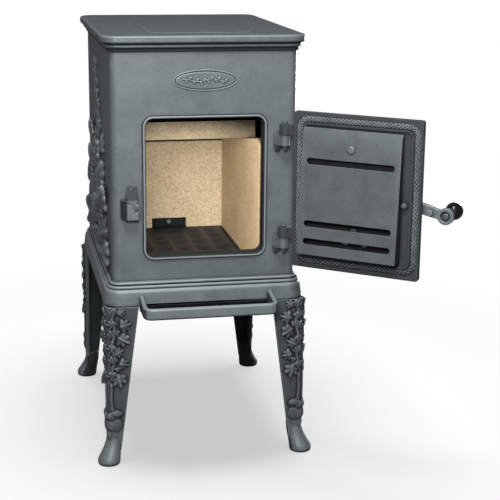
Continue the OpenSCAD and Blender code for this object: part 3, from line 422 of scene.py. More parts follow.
def floor():
    """Matt near the stove, so that it takes the shadow, and plain white further out"""
    bm = bmesh.new()
    bmesh.ops.create_grid(bm, x_segments=1, y_segments=1, size=20)
    ground = in_scene("floor", as_mesh("floor", bm))
    ground.location.z = -0.0003
    material, tree, place = new_material("white_floor")
    away = add(tree, "VectorMath", {0: place}, operation="LENGTH")
    far = add(tree, "MapRange", {"Value": away, "From Min": FLOOR_NEAR, "From Max": FLOOR_FAR},
              interpolation_type="SMOOTHSTEP")
    glow = add(tree, "MapRange", {"Value": far, "To Min": SHADOW_GLOW, "To Max": 1.0})
    tone = add(tree, "ValToRGB", {"Fac": far}, [(0.0, "#e8e8e8"), (1.0, 0)])
    white = add(tree, "Emission", {"Color": (1, 1, 1, 1), "Strength": glow})
    matt = add(tree, "BsdfDiffuse", {"Color": tone})
    shown = add(tree, "AddShader", {0: matt, 1: white})
    plain = add(tree, "BsdfDiffuse", {"Color": "#8c8c8c"})
    both = add(tree, "MixShader", {0: seen_directly(tree, SHINE), 1: plain, 2: shown})
    ground.data.materials.append(finish_material(material, tree, both))
    ground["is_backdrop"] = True
    return ground


surroundings()
ground = floor()
only_on(panel, "INCLUDE", ground)
scene.view_settings.view_transform = "Standard"

# %% [markdown]
# ## Copies of the model's pieces
# Boards, pins and knobs are simple enough for a modelled bevel: the mesh is copied, its loose triangles
# are merged, flat faces are joined up, and every crease is cut back and rounded. The large plates keep
# their own mesh, because a bevel tears faces that hold many holes.

# %% Softened copies
DOUBLES_MM = 0.02
FLAT = math.radians(0.6)
CREASE = math.radians(32)


def body_name(node):
    return frame["nodes"][node].parent.name.removeprefix("body:")


def merged(node):
    bm = bmesh.new()
    bm.from_mesh(frame["nodes"][node].data)
    bmesh.ops.remove_doubles(bm, verts=bm.verts, dist=DOUBLES_MM * MM)
    return bm


def shade(bm, crease=CREASE * 1.4):
    for face in bm.faces:
        face.smooth = True
    for edge in bm.edges:
        edge.smooth = len(edge.link_faces) == 2 and edge.calc_face_angle(0) < crease


def paint_slant_light(bm):
    """Marks slanting faces: painted highlight where they look up, painted shade where they look down"""
    layer = bm.faces.layers.float.get("relief") or bm.faces.layers.float.new("relief")
    bm.normal_update()
    for face in bm.faces:
        slant = max(abs(c) for c in face.normal) < 0.96 and abs(face.normal.z) > 0.2
        if slant:
            face[layer] = min(1.0, 1.3 * face.normal.z) if face.normal.z > 0 else 0.8 * face.normal.z
    return layer


def piece(name, bm, material, body, slot, *nodes):
    """A piece of the stove, on one of its bodies; it stands for the nodes it replaces"""
    made = in_scene(name, as_mesh(name, bm))
    made.data.materials.append(material)
    print(f"{name}: {len(made.data.polygons)} faces")
    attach(made, body)
    if nodes:
        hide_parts(*nodes)
    return made


def creases(bm):
    return [e for e in bm.edges if len(e.link_faces) == 2 and e.calc_face_angle(0) > CREASE]


def round_off(bm, edges, width, segments):
    bmesh.ops.bevel(bm, geom=edges, offset=width, offset_type="OFFSET", segments=segments, profile=0.5,
                    affect="EDGES", clamp_overlap=False, loop_slide=True, material=-1)


def keep_flat(made):
    """Weighted normals, so that rounding an edge doesn't bend the shading of the faces beside it"""
    made.modifiers.new("flat_faces_stay_flat", "WEIGHTED_NORMAL").keep_sharp = True


def soften(node, width_mm, segments=2):
    bm = merged(node)
    bmesh.ops.dissolve_limit(bm, angle_limit=FLAT, verts=bm.verts, edges=bm.edges)
    round_off(bm, creases(bm), width_mm * MM, segments)
    if slot_of[node] == "cast_iron":
        # painted highlight on upward slants, painted shade on downward ones
        paint_slant_light(bm)
    shade(bm)
    finish = frame["nodes"][node].data.materials[0]
    keep_flat(piece(node + "_soft", bm, finish, body_name(node), slot_of[node], node))


EDGE_MM = {
    "top_lid": 1.2, "back_board": 1.6, "left_board": 1.6, "right_board": 1.6, "baffle_board": 1.8,
    "lever_pivot_bolt": 0.5, "knob_stem": 0.4, "air_disc_knob": 0.5, "air_disc_nut": 0.4,
    "hinge_pins": 0.4, "shield_screw": 0.5}
for node, width_mm in EDGE_MM.items():
    soften(node, width_mm)

# %% [markdown]
# ## One skin over many shapes
# Cast relief is one piece of metal: leaves, stems and the plate under them run into each other with
# soft hollows. The easy way to get that is to pile up simple closed shapes, then voxel-remesh the pile
# into one skin and smooth it. Booleans would leave hard seams where this leaves fillets. The shapes are
# stamps, two small meshes that are pressed into the pile again and again.

# %% Stamps and skin
def press(pile, shape, matrix):
    """Copies a stamp into the pile, at the matrix's place and size"""
    shape.transform(matrix)
    pile.from_mesh(shape)
    shape.transform(matrix.inverted())


def baked(holder, library):
    """The shape of an object with its modifiers applied; the object and its data are removed"""
    done, data = bmesh.new(), holder.data
    done.from_mesh(holder.evaluated_get(bpy.context.evaluated_depsgraph_get()).to_mesh())
    bpy.data.objects.remove(holder)
    library.remove(data)
    return done


def skin(pile, voxel, rounds):
    """One closed surface over everything in the pile"""
    heap = in_scene("pile", as_mesh("pile", pile))
    remesh = heap.modifiers.new("remesh", "REMESH")
    remesh.mode, remesh.voxel_size = "VOXEL", voxel
    smooth = heap.modifiers.new("smooth", "SMOOTH")
    smooth.factor, smooth.iterations = 0.5, rounds
    return baked(heap, bpy.data.meshes)


def skin_mm(pile, voxel_mm, rounds):
    """The skin of a pile that is drawn in millimetres, given back in millimetres"""
    pile.transform(Matrix.Scale(MM, 4))
    bm = skin(pile, voxel_mm * MM, rounds)
    bm.transform(Matrix.Scale(1 / MM, 4))
    return bm


def trim(bm, place, out):
    """Cuts off what lies beyond a plane and closes the cut"""
    cut = bmesh.ops.bisect_plane(bm, geom=bm.verts[:] + bm.edges[:] + bm.faces[:], plane_co=place,
                                 plane_no=out, clear_outer=True)
    rim = [e for e in cut["geom_cut"] if isinstance(e, bmesh.types.BMEdge)]
    return bmesh.ops.holes_fill(bm, edges=rim)["faces"]


def tone_relief(bm, full):
    """Writes -1 in hollows to +1 on crests, for painted shade and painted highlight; full is the bend, in the
    mesh's own unit, that counts as 1
    """
    layer = bm.verts.layers.float.new("relief")
    bm.normal_update()
    bend = {}
    for vert in bm.verts:
        near = [edge.other_vert(vert).co for edge in vert.link_edges]
        bend[vert] = (vert.co - sum(near, Vector()) / len(near)).dot(vert.normal)
    for vert in bm.verts:
        near = [bend[edge.other_vert(vert)] for edge in vert.link_edges]
        vert[layer] = max(-1.0, min(1.0, (bend[vert] + sum(near)) / (len(near) + 1) / full))

# %% [markdown]
# ## Leaves, stems and berries
# The relief is a plain traditional vine: lobed leaves on a waving stem with bunches of berries. A leaf
# is a sphere pressed flat, whose rim is drawn out into five lobes, with a midrib and faint veins.
# A stem and a berry bunch are rows of balls, which the skin melts together.

# %% Leaf, stem and berries
LOBES = ((0, 1.0), (47, 0.8), (-47, 0.8), (98, 0.56), (-98, 0.56))  # degrees, and share of the length


def unit_ball():
    bm = bmesh.new()
    bmesh.ops.create_icosphere(bm, subdivisions=2, radius=1)
    return bm


def unit_leaf():
    """Lies on z = 0 and points along +x"""
    bm = bmesh.new()
    bmesh.ops.create_uvsphere(bm, u_segments=48, v_segments=16, radius=1)
    for vert in bm.verts:
        angle = math.degrees(math.atan2(vert.co.y, vert.co.x))
        flat = math.hypot(vert.co.x, vert.co.y)
        lobe = max(reach * math.exp(-(((angle - centre + 180) % 360 - 180) / 24) ** 2)
                   for centre, reach in LOBES)
        vert.co.x *= 0.5 + 0.5 * lobe
        vert.co.y *= 0.5 + 0.5 * lobe
        midrib = 0.5 * math.exp(-(vert.co.y / 0.13) ** 2)
        veins = 0.35 * lobe ** 4 * flat
        if vert.co.z > -0.2:
            vert.co.z += midrib + veins - 0.3 * flat ** 3
    return bm


BALL, LEAF = as_mesh("ball", unit_ball()), as_mesh("leaf", unit_leaf())


def turned(axis, degrees):
    return Matrix.Rotation(math.radians(degrees), 4, axis)


def leaf(pile, face, x, y, z, size, turn, thick=0.22, tilt=0.0):
    place = Matrix.Translation((x, y, z)) @ turned("Z", turn) @ turned("Y", tilt)
    press(pile, LEAF, face @ place @ Matrix.Diagonal((size, size, size * thick, 1)))


def ball(pile, face, x, y, z, radius, across=1.0, squash=1.0):
    place = Matrix.Translation((x, y, z))
    press(pile, BALL, face @ place @ Matrix.Diagonal((radius * across, radius, radius * squash, 1)))


def stem(pile, face, points, radius, end_radius):
    """A bead chain through the points, thinning from radius to end_radius"""
    spans = list(zip(points, points[1:]))
    for i, (a, b) in enumerate(spans):
        a, b = Vector(a), Vector(b)
        steps = max(1, round((b - a).length / (0.6 * (radius + end_radius) / 2)))
        for j in range(steps):
            along = (i + j / steps) / len(spans)
            ball(pile, face, *a.lerp(b, j / steps), radius + (end_radius - radius) * along)


def bunch(pile, face, x, y, z, radius, rows=4, turn=-90):
    """A bunch of berries that narrows towards its tip"""
    spin = turned("Z", turn)
    for row in range(rows):
        count = rows - row
        for k in range(count):
            berry = spin @ Vector((1.55 * radius * row, 1.8 * radius * (k - (count - 1) / 2), 0))
            ball(pile, face, x + berry.x, y + berry.y, z, radius)


print("stamps:", len(BALL.vertices), "points in the ball,", len(LEAF.vertices), "in the leaf")

# %% [markdown]
# ## The legs
# Each leg is one casting: two tapering flanges at a right angle with a hollow inner side, and a foot
# that sweeps outward. A vine hangs down both faces beside a plain strip, and a rolled leaf covers the
# ankle. One leg is made for the back right corner and mirrored to the other three, as the pattern maker
# would have done it.

# %% Leg
LEG_X, LEG_Y, LEG_H = 176, 236, 287
LEG_TOP, LEG_LOW, LEG_WALL, LEG_ROOT = 58, 24, 7, 24
LEG_VOXEL_MM, LEG_BEND_MM = 1.15, 0.16
# height, then how far the foot reaches out from the leg's corner and in from it
FOOT = ((56, -0.6, -26), (48, 0.4, -26.5), (40, 2.2, -26), (32, 5.0, -25), (25, 8.6, -24), (18, 12.6, -23),
        (12, 16.4, -22.4), (7, 18.2, -22), (3, 17.9, -21.6), (-2, 15.5, -19.5))
# from the leg's own directions to a flat drawing: x in from the corner, y up, z out of the face
BACK_FACE = Matrix(((-1, 0, 0, 0), (0, 0, 1, 0), (0, 1, 0, 0), (0, 0, 0, 1)))
SIDE_FACE = Matrix(((0, 0, 1, 0), (-1, 0, 0, 0), (0, 1, 0, 0), (0, 0, 0, 1)))


def leg_flanges():
    """The angle section, with its outer corner at x = y = 0"""
    bm = bmesh.new()
    outline = [(0, 0), (-1, 0), (-1, -LEG_WALL), (-LEG_WALL, -LEG_WALL), (-LEG_WALL, -1), (0, -1)]
    base = bm.faces.new([bm.verts.new((x, y, LEG_ROOT)) for x, y in outline])
    top = bmesh.ops.extrude_face_region(bm, geom=[base])
    for vert in (v for v in top["geom"] if isinstance(v, bmesh.types.BMVert)):
        vert.co.z = LEG_H
    for vert in bm.verts:
        width = LEG_TOP if vert.co.z > LEG_ROOT + 1 else LEG_LOW
        if vert.co.x == -1:
            vert.co.x = -width
        if vert.co.y == -1:
            vert.co.y = -width
    corner = [e for e in bm.edges if all(v.co.x == 0 and v.co.y == 0 for v in e.verts)]
    bmesh.ops.bevel(bm, geom=corner, offset=9, segments=8, profile=0.5, affect="EDGES", material=-1)
    bmesh.ops.recalc_face_normals(bm, faces=bm.faces)
    return as_mesh("flanges", bm)


def leg_foot():
    """Rings that swell outward along the diagonal, bridged one to the next"""
    bm = bmesh.new()
    last = None
    for z, out, inner in FOOT:
        middle, radius = (out + inner) / 2, (out - inner) / 2
        place = Matrix.Translation((middle, middle, z))
        ring = bmesh.ops.create_circle(bm, segments=28, radius=radius, matrix=place)
        edges = list(dict.fromkeys(e for v in ring["verts"] for e in v.link_edges))
        if last:
            bmesh.ops.bridge_loops(bm, edges=last + edges)
        last = edges
    bmesh.ops.holes_fill(bm, edges=[e for e in bm.edges if e.is_boundary])
    bmesh.ops.recalc_face_normals(bm, faces=bm.faces)
    return as_mesh("foot", bm)


def leg_vine(pile, face):
    """Relief for one flange: x is the distance in from the corner, y the height, z stands out"""
    bends = [(15, 284, 0), (10, 266, 0.4), (16, 244, 0.6), (9, 218, 0.6), (15, 194, 0.5), (9, 170, 0.4),
             (16, 146, 0)]
    stem(pile, face, bends, 3.6, 2.2)
    leaves = [
        (12, 276, 11, 100, -16), (25, 277, 10, 40, 16), (31, 254, 16, 12, 20), (27, 230, 17, -28, -18),
        (20, 205, 13, 25, 18), (28, 184, 14, -12, 20), (21, 158, 18, -78, -14), (11, 259, 12, 250, 16),
        (11, 238, 12, 120, -16), (11, 214, 12, 240, 18), (11, 190, 12, 110, -14), (11, 165, 13, 250, 16)]
    for x, y, size, turn, tilt in leaves:
        leaf(pile, face, x, y, 1.2, size, turn, thick=0.19, tilt=0.8 * tilt)
    bunch(pile, face, 19, 243, 0.9, 2.5, rows=2, turn=-80)
    bunch(pile, face, 18, 176, 0.9, 2.4, rows=2, turn=-70)


def ankle_leaf(pile, face):
    """A leaf rolled over twice, one roll above the other"""
    for x, y, z, radius, across, squash in (
            (15, 92, 0, 7.5, 1.6, 0.72), (7, 88, 0.4, 8, 1.1, 0.6), (12.5, 72, -1.4, 15, 1.0, 0.4),
            (9, 71, -0.4, 12, 0.85, 0.45), (11, 54, -3.4, 14, 0.9, 0.34)):
        ball(pile, face, x, y, z, radius, across, squash)
    stem(pile, face, [(8, 146, 0), (7, 120, -0.4), (9, 98, -0.4)], 2.6, 3.2)


def blacken_inside(bm):
    """The leg's hollow inner side and its heel get painted shade, and the rest is darker, most from just
    above the foot up
    """
    layer = bm.verts.layers.float["relief"]
    for vert in bm.verts:
        inner = -LEG_WALL + 1.5 - max(vert.co.x, vert.co.y)
        shank = vert.co.z > FOOT[1][0] and inner > 0 and max(vert.normal.x, vert.normal.y) < 0.2
        heel = vert.co.z <= FOOT[1][0] and vert.normal.x + vert.normal.y < -0.35
        # darker from just above the foot upward
        leg_darkening = 0.1 + 0.5 * min(1.0, max(0.0, (vert.co.z - 45) / 30))
        vert[layer] = -0.9 if shank or heel else max(-1.0, vert[layer] - leg_darkening)


def leg():
    pile = bmesh.new()
    pad = Matrix.Translation((-26.5, -26.5, LEG_H - 4)) @ Matrix.Diagonal((41, 41, 8, 1))
    bmesh.ops.create_cube(pile, size=1, matrix=pad)
    press(pile, leg_flanges(), Matrix())
    press(pile, leg_foot(), Matrix())
    for face in (BACK_FACE, SIDE_FACE):
        leg_vine(pile, face)
        ankle_leaf(pile, face)
    bm = skin_mm(pile, LEG_VOXEL_MM, 3)
    trim(bm, (0, 0, 0), (0, 0, -1))
    trim(bm, (0, 0, LEG_H), (0, 0, 1))
    # painted shade in the vine's hollows, painted highlight on its crests
    tone_relief(bm, LEG_BEND_MM)
    blacken_inside(bm)
    return bm


one_leg = leg()
one_leg.transform(Matrix.Scale(MM, 4) @ Matrix.Translation((LEG_X, LEG_Y, 0)))
leg_mesh = as_mesh("leg", one_leg)
for front in (0, 1):
    for left in (0, 1):
        bm = bmesh.new()
        bm.from_mesh(leg_mesh)
        bm.transform(Matrix.Diagonal((-1 if left else 1, -1 if front else 1, 1, 1)))
        if front + left == 1:
            bmesh.ops.reverse_faces(bm, faces=bm.faces)
        shade(bm, crease=math.radians(70))
        node = "leg_" + ("front" if front else "back") + "_" + ("left" if left else "right")
        piece(node + "_cast", bm, painted_iron, "stove", "cast_iron", node)

# %% [markdown]
# ## The side plates
# The sides carry the same vine, larger: broad leaves and berries in the lower part, and a thin spray
# climbing to the top. The relief is drawn flat, skinned, and laid on a plain plate. Only its front is
# kept from the skin; the back is one flat face. Its marks are a little darker towards the bottom.

# %% Side plates
PLATE_L, PLATE_H, PLATE_T = 389.2, 393, 6
PLATE_X, PLATE_Z = 160, 329
SIDE_VOXEL_MM, SIDE_BEND_MM, SIDE_DARKER = 2.0, 0.3, 0.3
FLAT_FACE = Matrix()


def side_vine(pile):
    """x runs from the middle towards the front, y up from the plate's bottom edge"""
    stem(pile, FLAT_FACE, [(26 * math.sin(k * 0.62), 6 + 19 * k, 1) for k in range(20)], 6.5, 2.6)
    for side in (-1, 1):
        low = [(0, 20, 1), (side * 45, 48, 1), (side * 95, 70, 1), (side * 128, 112, 0.5)]
        high = [(side * 12, 120, 1), (side * 55, 150, 1), (side * 84, 190, 1), (side * 82, 225, 0.5)]
        stem(pile, FLAT_FACE, low, 4.5, 2.5)
        stem(pile, FLAT_FACE, high, 3.8, 2.2)
    big = [(-44, 34, 44, 200), (48, 30, 46, -20), (-104, 62, 42, 160), (108, 58, 43, 20), (0, 74, 40, 95),
           (-62, 100, 42, 140), (64, 98, 41, 48), (-126, 124, 34, 110), (126, 122, 35, 70), (-8, 132, 36, 70),
           (-78, 162, 34, 120), (76, 160, 33, 62), (24, 178, 30, 30), (-36, 190, 30, 150),
           (-92, 214, 24, 95), (90, 214, 24, 80), (-145, 36, 32, 215), (146, 34, 32, -35)]
    for k, (x, y, size, turn) in enumerate(big):
        leaf(pile, FLAT_FACE, x, y, 3.5 + (k % 3), size, turn, thick=0.17, tilt=6 if k % 2 else -5)
    for x, y, rows in ((-26, 84, 4), (88, 110, 4), (-98, 150, 4), (34, 140, 4), (-60, 58, 3), (16, 210, 3)):
        bunch(pile, FLAT_FACE, x, y, 5, 6.2, rows=rows, turn=-88)
    for k, y in enumerate(range(228, 372, 18)):
        side = 1 if k % 2 else -1
        x = 26 * math.sin((y - 6) / 19 * 0.62)
        leaf(pile, FLAT_FACE, x + side * 13, y, 2.4, 17 - k, 90 - side * 50, thick=0.24)
        if k % 3 == 1:
            bunch(pile, FLAT_FACE, x - side * 12, y + 4, 3, 3.6, rows=3, turn=-90)


def side_relief():
    pile = bmesh.new()
    plate = Matrix.Translation((0, PLATE_H / 2, -3)) @ Matrix.Diagonal((PLATE_L, PLATE_H, PLATE_T, 1))
    bmesh.ops.create_cube(pile, size=1, matrix=plate)
    side_vine(pile)
    bm = skin_mm(pile, SIDE_VOXEL_MM, 1)
    for place, out in (((PLATE_L / 2, 0, 0), (1, 0, 0)), ((-PLATE_L / 2, 0, 0), (-1, 0, 0)),
                       ((0, 0, 0), (0, -1, 0)), ((0, PLATE_H, 0), (0, 1, 0))):
        trim(bm, place, out)
    # painted shade in the vine's hollows, painted highlight on its crests
    tone_relief(bm, SIDE_BEND_MM)
    layer = bm.verts.layers.float["relief"]
    # darker towards the bottom
    for vert in bm.verts:
        vert[layer] = max(-1.0, vert[layer] - SIDE_DARKER * min(1.0, max(0.0, 1.4 - vert.co.y / 200)))
    for face in trim(bm, (0, 0, -2), (0, 0, -1)):
        for vert in face.verts:
            vert.co.z = -PLATE_T
    return bm


relief_mesh = as_mesh("relief", side_relief())
for side, node in ((-1, "left_side_plate"), (1, "right_side_plate")):
    bm = bmesh.new()
    bm.from_mesh(relief_mesh)
    # drawing x -> -Y (front), drawing y -> +Z, drawing z -> outwards
    bm.transform(Matrix(((0, 0, side, side * PLATE_X), (-1, 0, 0, 0), (0, 1, 0, PLATE_Z), (0, 0, 0, 1))))
    if side > 0:
        bmesh.ops.reverse_faces(bm, faces=bm.faces)
    bm.transform(Matrix.Scale(MM, 4))
    shade(bm, crease=math.radians(60))
    piece(node + "_cast", bm, painted_iron, "stove", "cast_iron", node)

# %% [markdown]
# ## The braided seal
# The rope lies in a groove round the door's inner face. It is a tubular braid: strands wind round the
# core both ways and pass over and under each other in turn. Every strand is one closed spline with a
# small round section; the over-and-under is a wave in its distance from the core. How far a point lies
# below the rope's outside goes into the attribute, from +1 at the outside to -1 at the core.

# %% Rope seal
ROPE_W, ROPE_H, ROPE_CORNER, ROPE_R = 210, 245, 16, 5.9
ROPE_MID = (0, 490.5)
ROPE_Y = -224.3 - ROPE_R
STRANDS, TURNS, STRAND_R, WEAVE, STEPS = 5, 25, 1.6, 1.0, 780
HINGE = Vector((0.136, -0.236, 0))
DOOR_OPEN = math.radians(142)
AT_DOOR = Matrix.Translation(HINGE) @ Matrix.Rotation(DOOR_OPEN, 4, "Z") @ Matrix.Translation(-HINGE)


def round_rectangle(along):
    """Point and outward direction at a share of the way round, in mm"""
    arc = math.pi / 2 * ROPE_CORNER
    straights = ROPE_H - 2 * ROPE_CORNER, ROPE_W - 2 * ROPE_CORNER
    sides = [straights[0], arc, straights[1], arc] * 2
    left = along % 1 * sum(sides)
    index = 0
    while left > sides[index]:
        left -= sides[index]
        index += 1
    quarter, on_arc = divmod(index, 2)
    run = straights[quarter % 2]
    turn = left / ROPE_CORNER if on_arc else 0.0
    x = (ROPE_W, ROPE_H)[quarter % 2] / 2 + ROPE_CORNER * (math.cos(turn) - 1)
    z = -run / 2 + (run + ROPE_CORNER * math.sin(turn) if on_arc else left)
    out = (math.cos(turn), math.sin(turn))
    for _ in range(quarter):
        x, z, out = -z, x, (-out[1], out[0])
    return Vector((x, 0, z)), Vector((out[0], 0, out[1]))


def from_rope_line(spot):
    """How far outside the rope's middle line a point of the closed door lies, in mm; below 0 is inside"""
    over = [abs(spot.x) - ROPE_W / 2 + ROPE_CORNER, abs(spot.z - ROPE_MID[1]) - ROPE_H / 2 + ROPE_CORNER]
    return math.hypot(max(over[0], 0), max(over[1], 0)) + min(max(over), 0) - ROPE_CORNER


def rope_seal():
    curve = bpy.data.curves.new("rope", "CURVE")
    curve.dimensions = "3D"
    curve.bevel_depth, curve.bevel_resolution, curve.use_fill_caps = STRAND_R * MM, 1, False
    for way in (-1, 1):
        for strand in range(STRANDS):
            spline = curve.splines.new("POLY")
            spline.points.add(STEPS - 1)
            spline.use_cyclic_u = True
            for k in range(STEPS):
                centre, out = round_rectangle(k / STEPS)
                angle = 2 * math.pi * (way * TURNS * k / STEPS + strand / STRANDS)
                over = way * math.cos(2 * math.pi * STRANDS * TURNS * k / STEPS)
                reach = ROPE_R - STRAND_R - WEAVE * (1 - over)
                point = centre + reach * (math.cos(angle) * out + math.sin(angle) * Vector((0, 1, 0)))
                point += Vector((ROPE_MID[0], ROPE_Y, ROPE_MID[1]))
                spline.points[k].co = (*(AT_DOOR @ (point * MM)), 1)
    bm = baked(in_scene("rope", curve), bpy.data.curves)
    bmesh.ops.recalc_face_normals(bm, faces=bm.faces)
    layer = bm.verts.layers.float.new("relief")
    closed = AT_DOOR.inverted()
    for vert in bm.verts:
        spot = (closed @ vert.co) / MM
        deep = ROPE_R - math.hypot(from_rope_line(spot), spot.y - ROPE_Y)
        # the rope is marked darker towards the bottom of the door
        darkened = 0.45 * max(0.0, 1 - (spot.z - 370) / 60)
        vert[layer] = max(-1.0, 1 - deep / (WEAVE + 0.5 * STRAND_R) - darkened)
    shade(bm, crease=math.radians(80))
    piece("door_rope_braid", bm, FINISH["rope"], "door", "rope", "door_rope_seal")


rope_seal()

# %% [markdown]
# ## The ash lip
# Under the door a shallow tray catches what falls out. Its rim is thick and well rounded, because hands
# and brooms pass over it. The base plate is copied without its plain lip, which is cut off along the
# slope of the skirt, since a base casting leans back a little so that it leaves its mould. The lip is
# modelled again from one rectangle: front corners rounded, drawn up, hollowed by an inset, and its edges
# bevelled. A painted highlight lies on the rim and a lighter mark on the outer front; the rest of the
# lip, the inside too, carries painted shade.

# %% Ash lip
LIP_W, LIP_OUT, LIP_R, LIP_WALL = 234, 60, 16, 8
LIP_Z, LIP_FLOOR, LIP_FRONT, LIP_BACK = 278, 4, 20, 28
LIP_BEHIND = 12  # how far the lip's back stands behind the skirt's lower edge
SKIRT_Y = -236
SKIRT_SPOT, SKIRT_LEAN = (0, (SKIRT_Y - 0.02) * MM, 291 * MM), (0, -0.9946, 0.1041)


def ash_lip():
    bm = bmesh.new()
    half = LIP_W / 2
    corners = [(half, LIP_BEHIND), (-half, LIP_BEHIND), (-half, -LIP_OUT), (half, -LIP_OUT)]
    bm.faces.new([bm.verts.new((x, y, 0)) for x, y in corners])
    bmesh.ops.bevel(bm, geom=[v for v in bm.verts if v.co.y < 0], offset=LIP_R, segments=8, profile=0.5,
                    affect="VERTICES", material=-1)
    base = bm.faces[:][0]
    up = bmesh.ops.extrude_face_region(bm, geom=[base])["geom"]
    top = next(f for f in up if isinstance(f, bmesh.types.BMFace))
    bmesh.ops.translate(bm, vec=(0, 0, 1), verts=top.verts)
    bmesh.ops.inset_region(bm, faces=[top], thickness=LIP_WALL, use_even_offset=True)
    pocket = bmesh.ops.extrude_face_region(bm, geom=[top])["geom"]
    bmesh.ops.delete(bm, geom=[top], context="FACES")
    floor_verts = {v for v in pocket if isinstance(v, bmesh.types.BMVert)}
    for vert in bm.verts:
        if vert in floor_verts:
            vert.co.z = LIP_FLOOR
        elif vert.co.z > 0.5:
            vert.co.z = LIP_FRONT + (LIP_BACK - LIP_FRONT) * (vert.co.y + LIP_OUT) / LIP_OUT
    bmesh.ops.recalc_face_normals(bm, faces=bm.faces)
    for low, width, segments in ((True, 5, 4), (False, 3.6, 5)):
        edges = [e for e in creases(bm) if all(v.co.z < 1 for v in e.verts) == low]
        round_off(bm, edges, width, segments)
    bm.transform(Matrix.Scale(MM, 4) @ Matrix.Translation((0, SKIRT_Y, LIP_Z)))
    bm.normal_update()
    layer = bm.faces.layers.float.new("relief")
    # painted highlight on the rim, painted shade inside and underneath
    for face in bm.faces:
        spot, up = face.calc_center_median(), face.normal.z
        rim = spot.z > (LIP_Z + LIP_FRONT - 4) * MM and up > 0.25
        outer = spot.y < (SKIRT_Y - LIP_OUT + LIP_WALL / 2) * MM
        face[layer] = min(1.0, 1.1 * up) if rim else (0.3 if outer and up > -0.3 else -0.7)
    shade(bm)
    keep_flat(piece("ash_lip_cast", bm, painted_iron, "stove", "cast_iron"))


base = merged("base_plate")
trim(base, SKIRT_SPOT, SKIRT_LEAN)
# painted highlight on upward slants, painted shade on downward ones
paint_slant_light(base)
shade(base)
piece("base_plate_cast", base, painted_iron, "stove", "cast_iron", "base_plate")
ash_lip()

# %% [markdown]
# ## Painted shade behind the shield
# Behind the shield on the door's inner face the slots look black: that is painted shade. Copies of the
# door and the shield get the relief attribute on their faces: -1, full painted shade, behind the shield,
# on its back and in its slots, strong painted shade on its rim, and a darker mark on the door's inner face
# and on the shield's front. The door's copy is first cut along the shield's outline, so that the painted
# shade ends under it.

# %% Door and shield
FROM_DOOR = AT_DOOR.inverted()
# the shield's front darker, painted shade on its rim, the door's inner face darker, full painted shade behind
SHIELD_FACE, SHIELD_RIM_SHADE, DOOR_INSIDE, FULL_PAINTED_SHADE = -0.36, -0.92, -0.74, -1.0


def in_closed_door(bm):
    """Lowest and highest corner, with the door turned back to its closed place"""
    spots = [FROM_DOOR @ v.co for v in bm.verts]
    return [Vector([pick(s[i] for s in spots) for i in range(3)]) for pick in (min, max)]


shield = merged("door_shield")
shield_low, shield_high = in_closed_door(shield)
layer = shield.faces.layers.float.new("relief")
for face in shield.faces:
    spot = FROM_DOOR @ face.calc_center_median()
    facing = (FROM_DOOR.to_3x3() @ face.normal).y
    at_edge = min(spot.x - shield_low.x, shield_high.x - spot.x,
                  spot.z - shield_low.z, shield_high.z - spot.z) < 0.4 * MM
    face[layer] = SHIELD_FACE if facing > 0.5 else (SHIELD_RIM_SHADE if facing > -0.5 and at_edge else FULL_PAINTED_SHADE)
shade(shield)
piece("door_shield_sooted", shield, painted_iron, "door", "cast_iron", "door_shield")

door = merged("door")
turn = AT_DOOR.to_3x3()
for axis in (Vector((1, 0, 0)), Vector((0, 0, 1))):
    for corner in (shield_low, shield_high):
        bmesh.ops.bisect_plane(door, geom=door.verts[:] + door.edges[:] + door.faces[:], dist=1e-7,
                               plane_co=AT_DOOR @ corner, plane_no=turn @ axis)
layer = door.faces.layers.float.new("relief")
inner_y = in_closed_door(door)[1].y
for face in door.faces:
    spot = FROM_DOOR @ face.calc_center_median()
    inside = shield_low.x < spot.x < shield_high.x and shield_low.z < spot.z < shield_high.z
    inner = (FROM_DOOR.to_3x3() @ face.normal).y > -0.5 and spot.y > inner_y - 9 * MM
    covered = inside and spot.y > shield_low.y - 4 * MM
    face[layer] = FULL_PAINTED_SHADE if covered else (DOOR_INSIDE if inner else 0.0)
shade(door)
piece("door_sooted", door, painted_iron, "door", "cast_iron", "door")

# %% [markdown]
# ## The front and the top
# The front plate has a round bead along its opening. Its crown carries a painted highlight, and its
# flanks, the wall behind it and the plate's back carry painted shade. The bead's middle line is the
# rope's own, so the same distance tells which faces belong to it. Under the top plate's rim a cornice
# steps down: painted shade darkens what lies in the shade of the rim, and a painted highlight brightens
# the round front of the upper step.

# %% Front and top plates
BEAD_MM, FRONT_FACE_Y = 3.6, -220
CORNICE_Z, LOWER_STEP, UPPER_STEP = 722, 7, 14  # where the cornice starts, and its steps' tops above that

front = merged("front_plate")
layer = paint_slant_light(front)
# painted highlight on the bead's crown, painted shade on its flanks, inside the opening and on the back
for face in front.faces:
    spot = face.calc_center_median() / MM
    aside = from_rope_line(spot)
    if abs(aside) < BEAD_MM and spot.y < FRONT_FACE_Y + 0.5:
        face[layer] = 1.0 if face.normal.y < -0.9 else -0.85
    elif aside < 0 or face.normal.y > 0.5:
        face[layer] = -0.95
shade(front)
piece("front_plate_cast", front, painted_iron, "stove", "cast_iron", "front_plate")

top = merged("top_plate")
layer = paint_slant_light(top)
# painted shade under the rim and on the lower step, a painted highlight on the upper step's front
for face in top.faces:
    height = face.calc_center_median().z / MM - CORNICE_Z
    if height < LOWER_STEP:
        face[layer] = -0.85
    elif height < UPPER_STEP:
        face[layer] = -0.9 if face.normal.z > 0.15 else (0.25 if face.normal.z > -0.3 else -0.6)
    elif face.normal.z < -0.5:
        face[layer] = -0.9
shade(top)
piece("top_plate_cast", top, painted_iron, "stove", "cast_iron", "top_plate")

